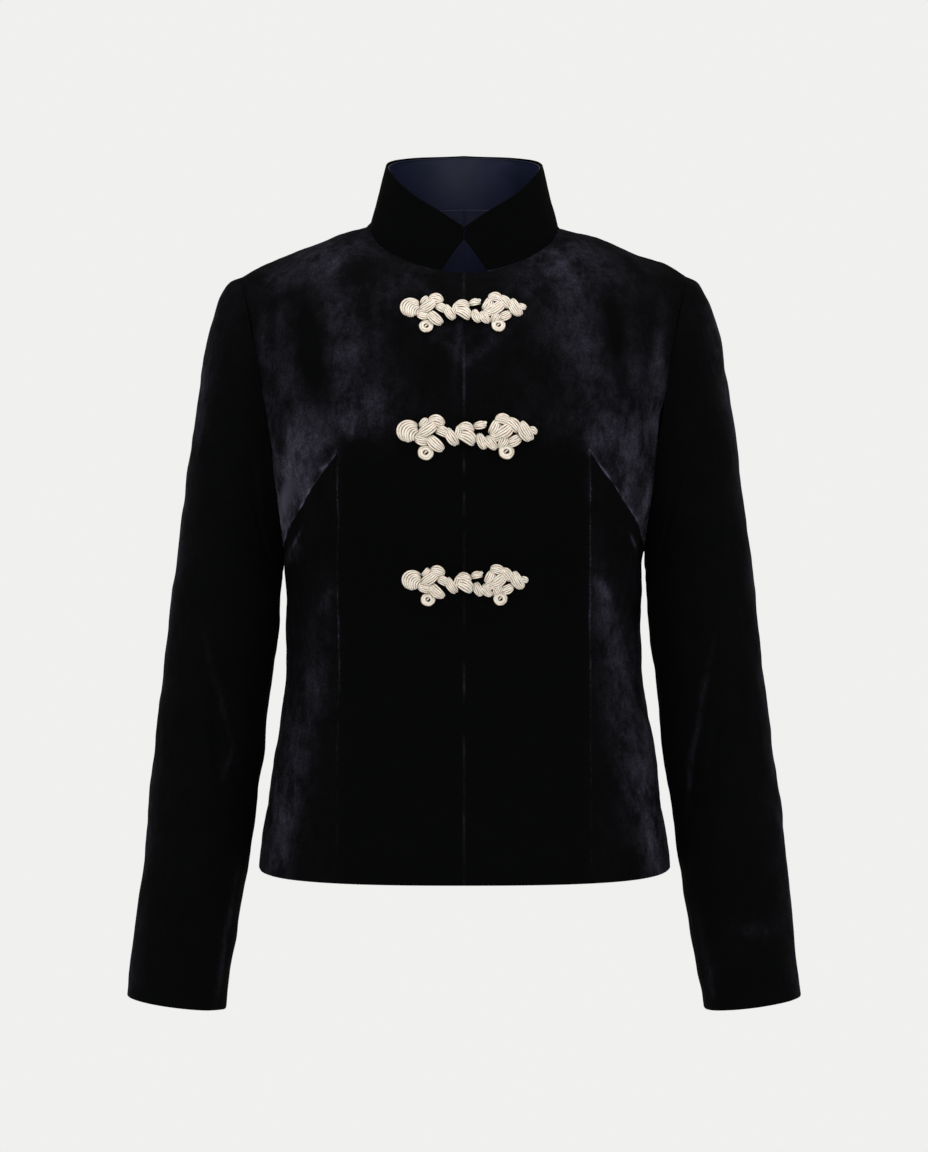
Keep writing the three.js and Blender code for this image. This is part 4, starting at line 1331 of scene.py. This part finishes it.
def frog_half(node, frog, fan, lobes, place, seed):
    rng = np.random.default_rng(seed)
    cords = fan_cords(fan, rng) if fan else []
    for lobe in named(LOBE_COLUMNS, lobes):
        cords += lobe_cords(lobe, rng)
    cords += ring_cords(place, rng)
    faces, start = [], 0
    for points, cord_faces, _ in cords:
        faces += [tuple(i + start for i in face) for face in cord_faces]
        start += len(points)
    local = np.concatenate([points for points, _, _ in cords])
    x = (local[:, 0] + frog["across"]) * frog["size"]
    z = frog["z"] + (local[:, 1] + frog["up"]) * frog["size"]
    # The cloth's height under the closure, on a coarse net so that the cords stay smooth.
    xs = np.linspace(x.min() - FROG_MARGIN, x.max() + FROG_MARGIN, FROG_NET[0])
    zs = np.linspace(z.min() - FROG_MARGIN, z.max() + FROG_MARGIN, FROG_NET[1])
    depth = np.array([[front_y(a, b) for a in xs] for b in zs])
    depth = np.where(depth == 0, depth[depth != 0].mean(), depth)
    fx = np.clip((x - xs[0]) / (xs[1] - xs[0]), 0, len(xs) - 1.001)
    fz = np.clip((z - zs[0]) / (zs[1] - zs[0]), 0, len(zs) - 1.001)
    i, j = fx.astype(int), fz.astype(int)
    a, b = fx - i, fz - j
    base = (
        depth[j, i] * (1 - a) * (1 - b)
        + depth[j, i + 1] * a * (1 - b)
        + depth[j + 1, i] * (1 - a) * b
        + depth[j + 1, i + 1] * a * b
    )
    # across, up and height become x, z and -y, which keeps the faces outward.
    world = np.stack([x, base - FROG_LIFT - local[:, 2] * frog["size"], z], axis=1)
    obj = make(f"{node}_cords", world, faces, (CORD,))
    # Each point's share of painted shade in the grooves between cords.
    mark(obj, "painted_groove_shade", [painted_groove_shade for _, _, painted_groove_shade in cords])
    keep(node, obj, "frog_cord")


BUTTON_SEED, LOOP_SEED = 11, 31
for number, frog in enumerate(named(FROG_COLUMNS, FROGS)):
    name = frog["name"]
    frog_half(f"{name}_button", frog, BUTTON_FAN, BUTTON_LOBES, RING_PLACES["button"], BUTTON_SEED + number)
    frog_half(f"{name}_loop", frog, None, LOOP_LOBES, RING_PLACES["loop"], LOOP_SEED + number)


# ---- Studio ----
scene = bpy.context.scene
scene.view_settings.view_transform = "Standard"
studio = Nodes(bpy.data.worlds.new("studio"))
around = studio.tree.nodes["Background"]
studio.feed(around, {"Color": (0.55, 0.55, 0.56, 1)})
backdrop = studio.add("Background", 0, {"Color": (0.872, 0.87, 0.862, 1)})
seen = studio.add("LightPath", "Is Camera Ray", {})
either = studio.add("MixShader", 0, {0: seen, 1: around.outputs[0], 2: backdrop})
studio.feed(studio.tree.nodes["World Output"], {"Surface": either})
scene.world = studio.owner

# Places, targets and sizes in metres, energy in watts.
LIGHT_COLUMNS = ("name", "place", "target", "size", "energy")
LIGHTS = (
    ("key", (-0.5, -2.4, 1.7), (0, 0, -0.2), (1.6, 1.2), 30),
    ("top", (0, -0.3, 1.9), (0, 0, 0), (1.8, 1.2), 22),
    ("left strip", (-1.9, -0.7, -0.1), (0, 0, -0.3), (0.5, 1.6), 9),
    ("right strip", (1.9, -0.7, -0.1), (0, 0, -0.3), (0.5, 1.6), 10),
    ("fill", (0.2, -2.4, -0.9), (0, 0, -0.35), (1.2, 1.0), 14),
)
for row in named(LIGHT_COLUMNS, LIGHTS):
    light = bpy.data.lights.new(row["name"], "AREA")
    light.shape = "RECTANGLE"
    light.size, light.size_y = row["size"]
    light.energy = row["energy"]
    lamp = new_object(row["name"], light)
    lamp.location = row["place"]
    direction = Vector(row["target"]) - Vector(row["place"])
    lamp.rotation_euler = direction.to_track_quat("-Z", "Y").to_euler()

FLOOR_Z, FLOOR_HALF = -1.4, 1.5
corners = [(x * FLOOR_HALF, y * FLOOR_HALF, FLOOR_Z) for x, y in ((-1, -1), (1, -1), (1, 1), (-1, 1))]
floor_mesh = bpy.data.meshes.new("floor")
floor_mesh.from_pydata(corners, [], [(0, 1, 2, 3)])
floor = new_object("floor", floor_mesh)
paint = Nodes(bpy.data.materials.new("floor"))
paint.feed(paint.principled, {"Base Color": (0.8, 0.8, 0.79, 1), "Roughness": 0.9})
floor_mesh.materials.append(paint.owner)

camera_data = bpy.data.cameras.new("camera")
camera_data.sensor_width = 36
camera_data.lens = 118.18
camera = new_object("camera", camera_data)
camera.location = (0, -3.2, -0.2924)
camera.rotation_euler = (QUARTER, 0, 0)
scene.camera = camera
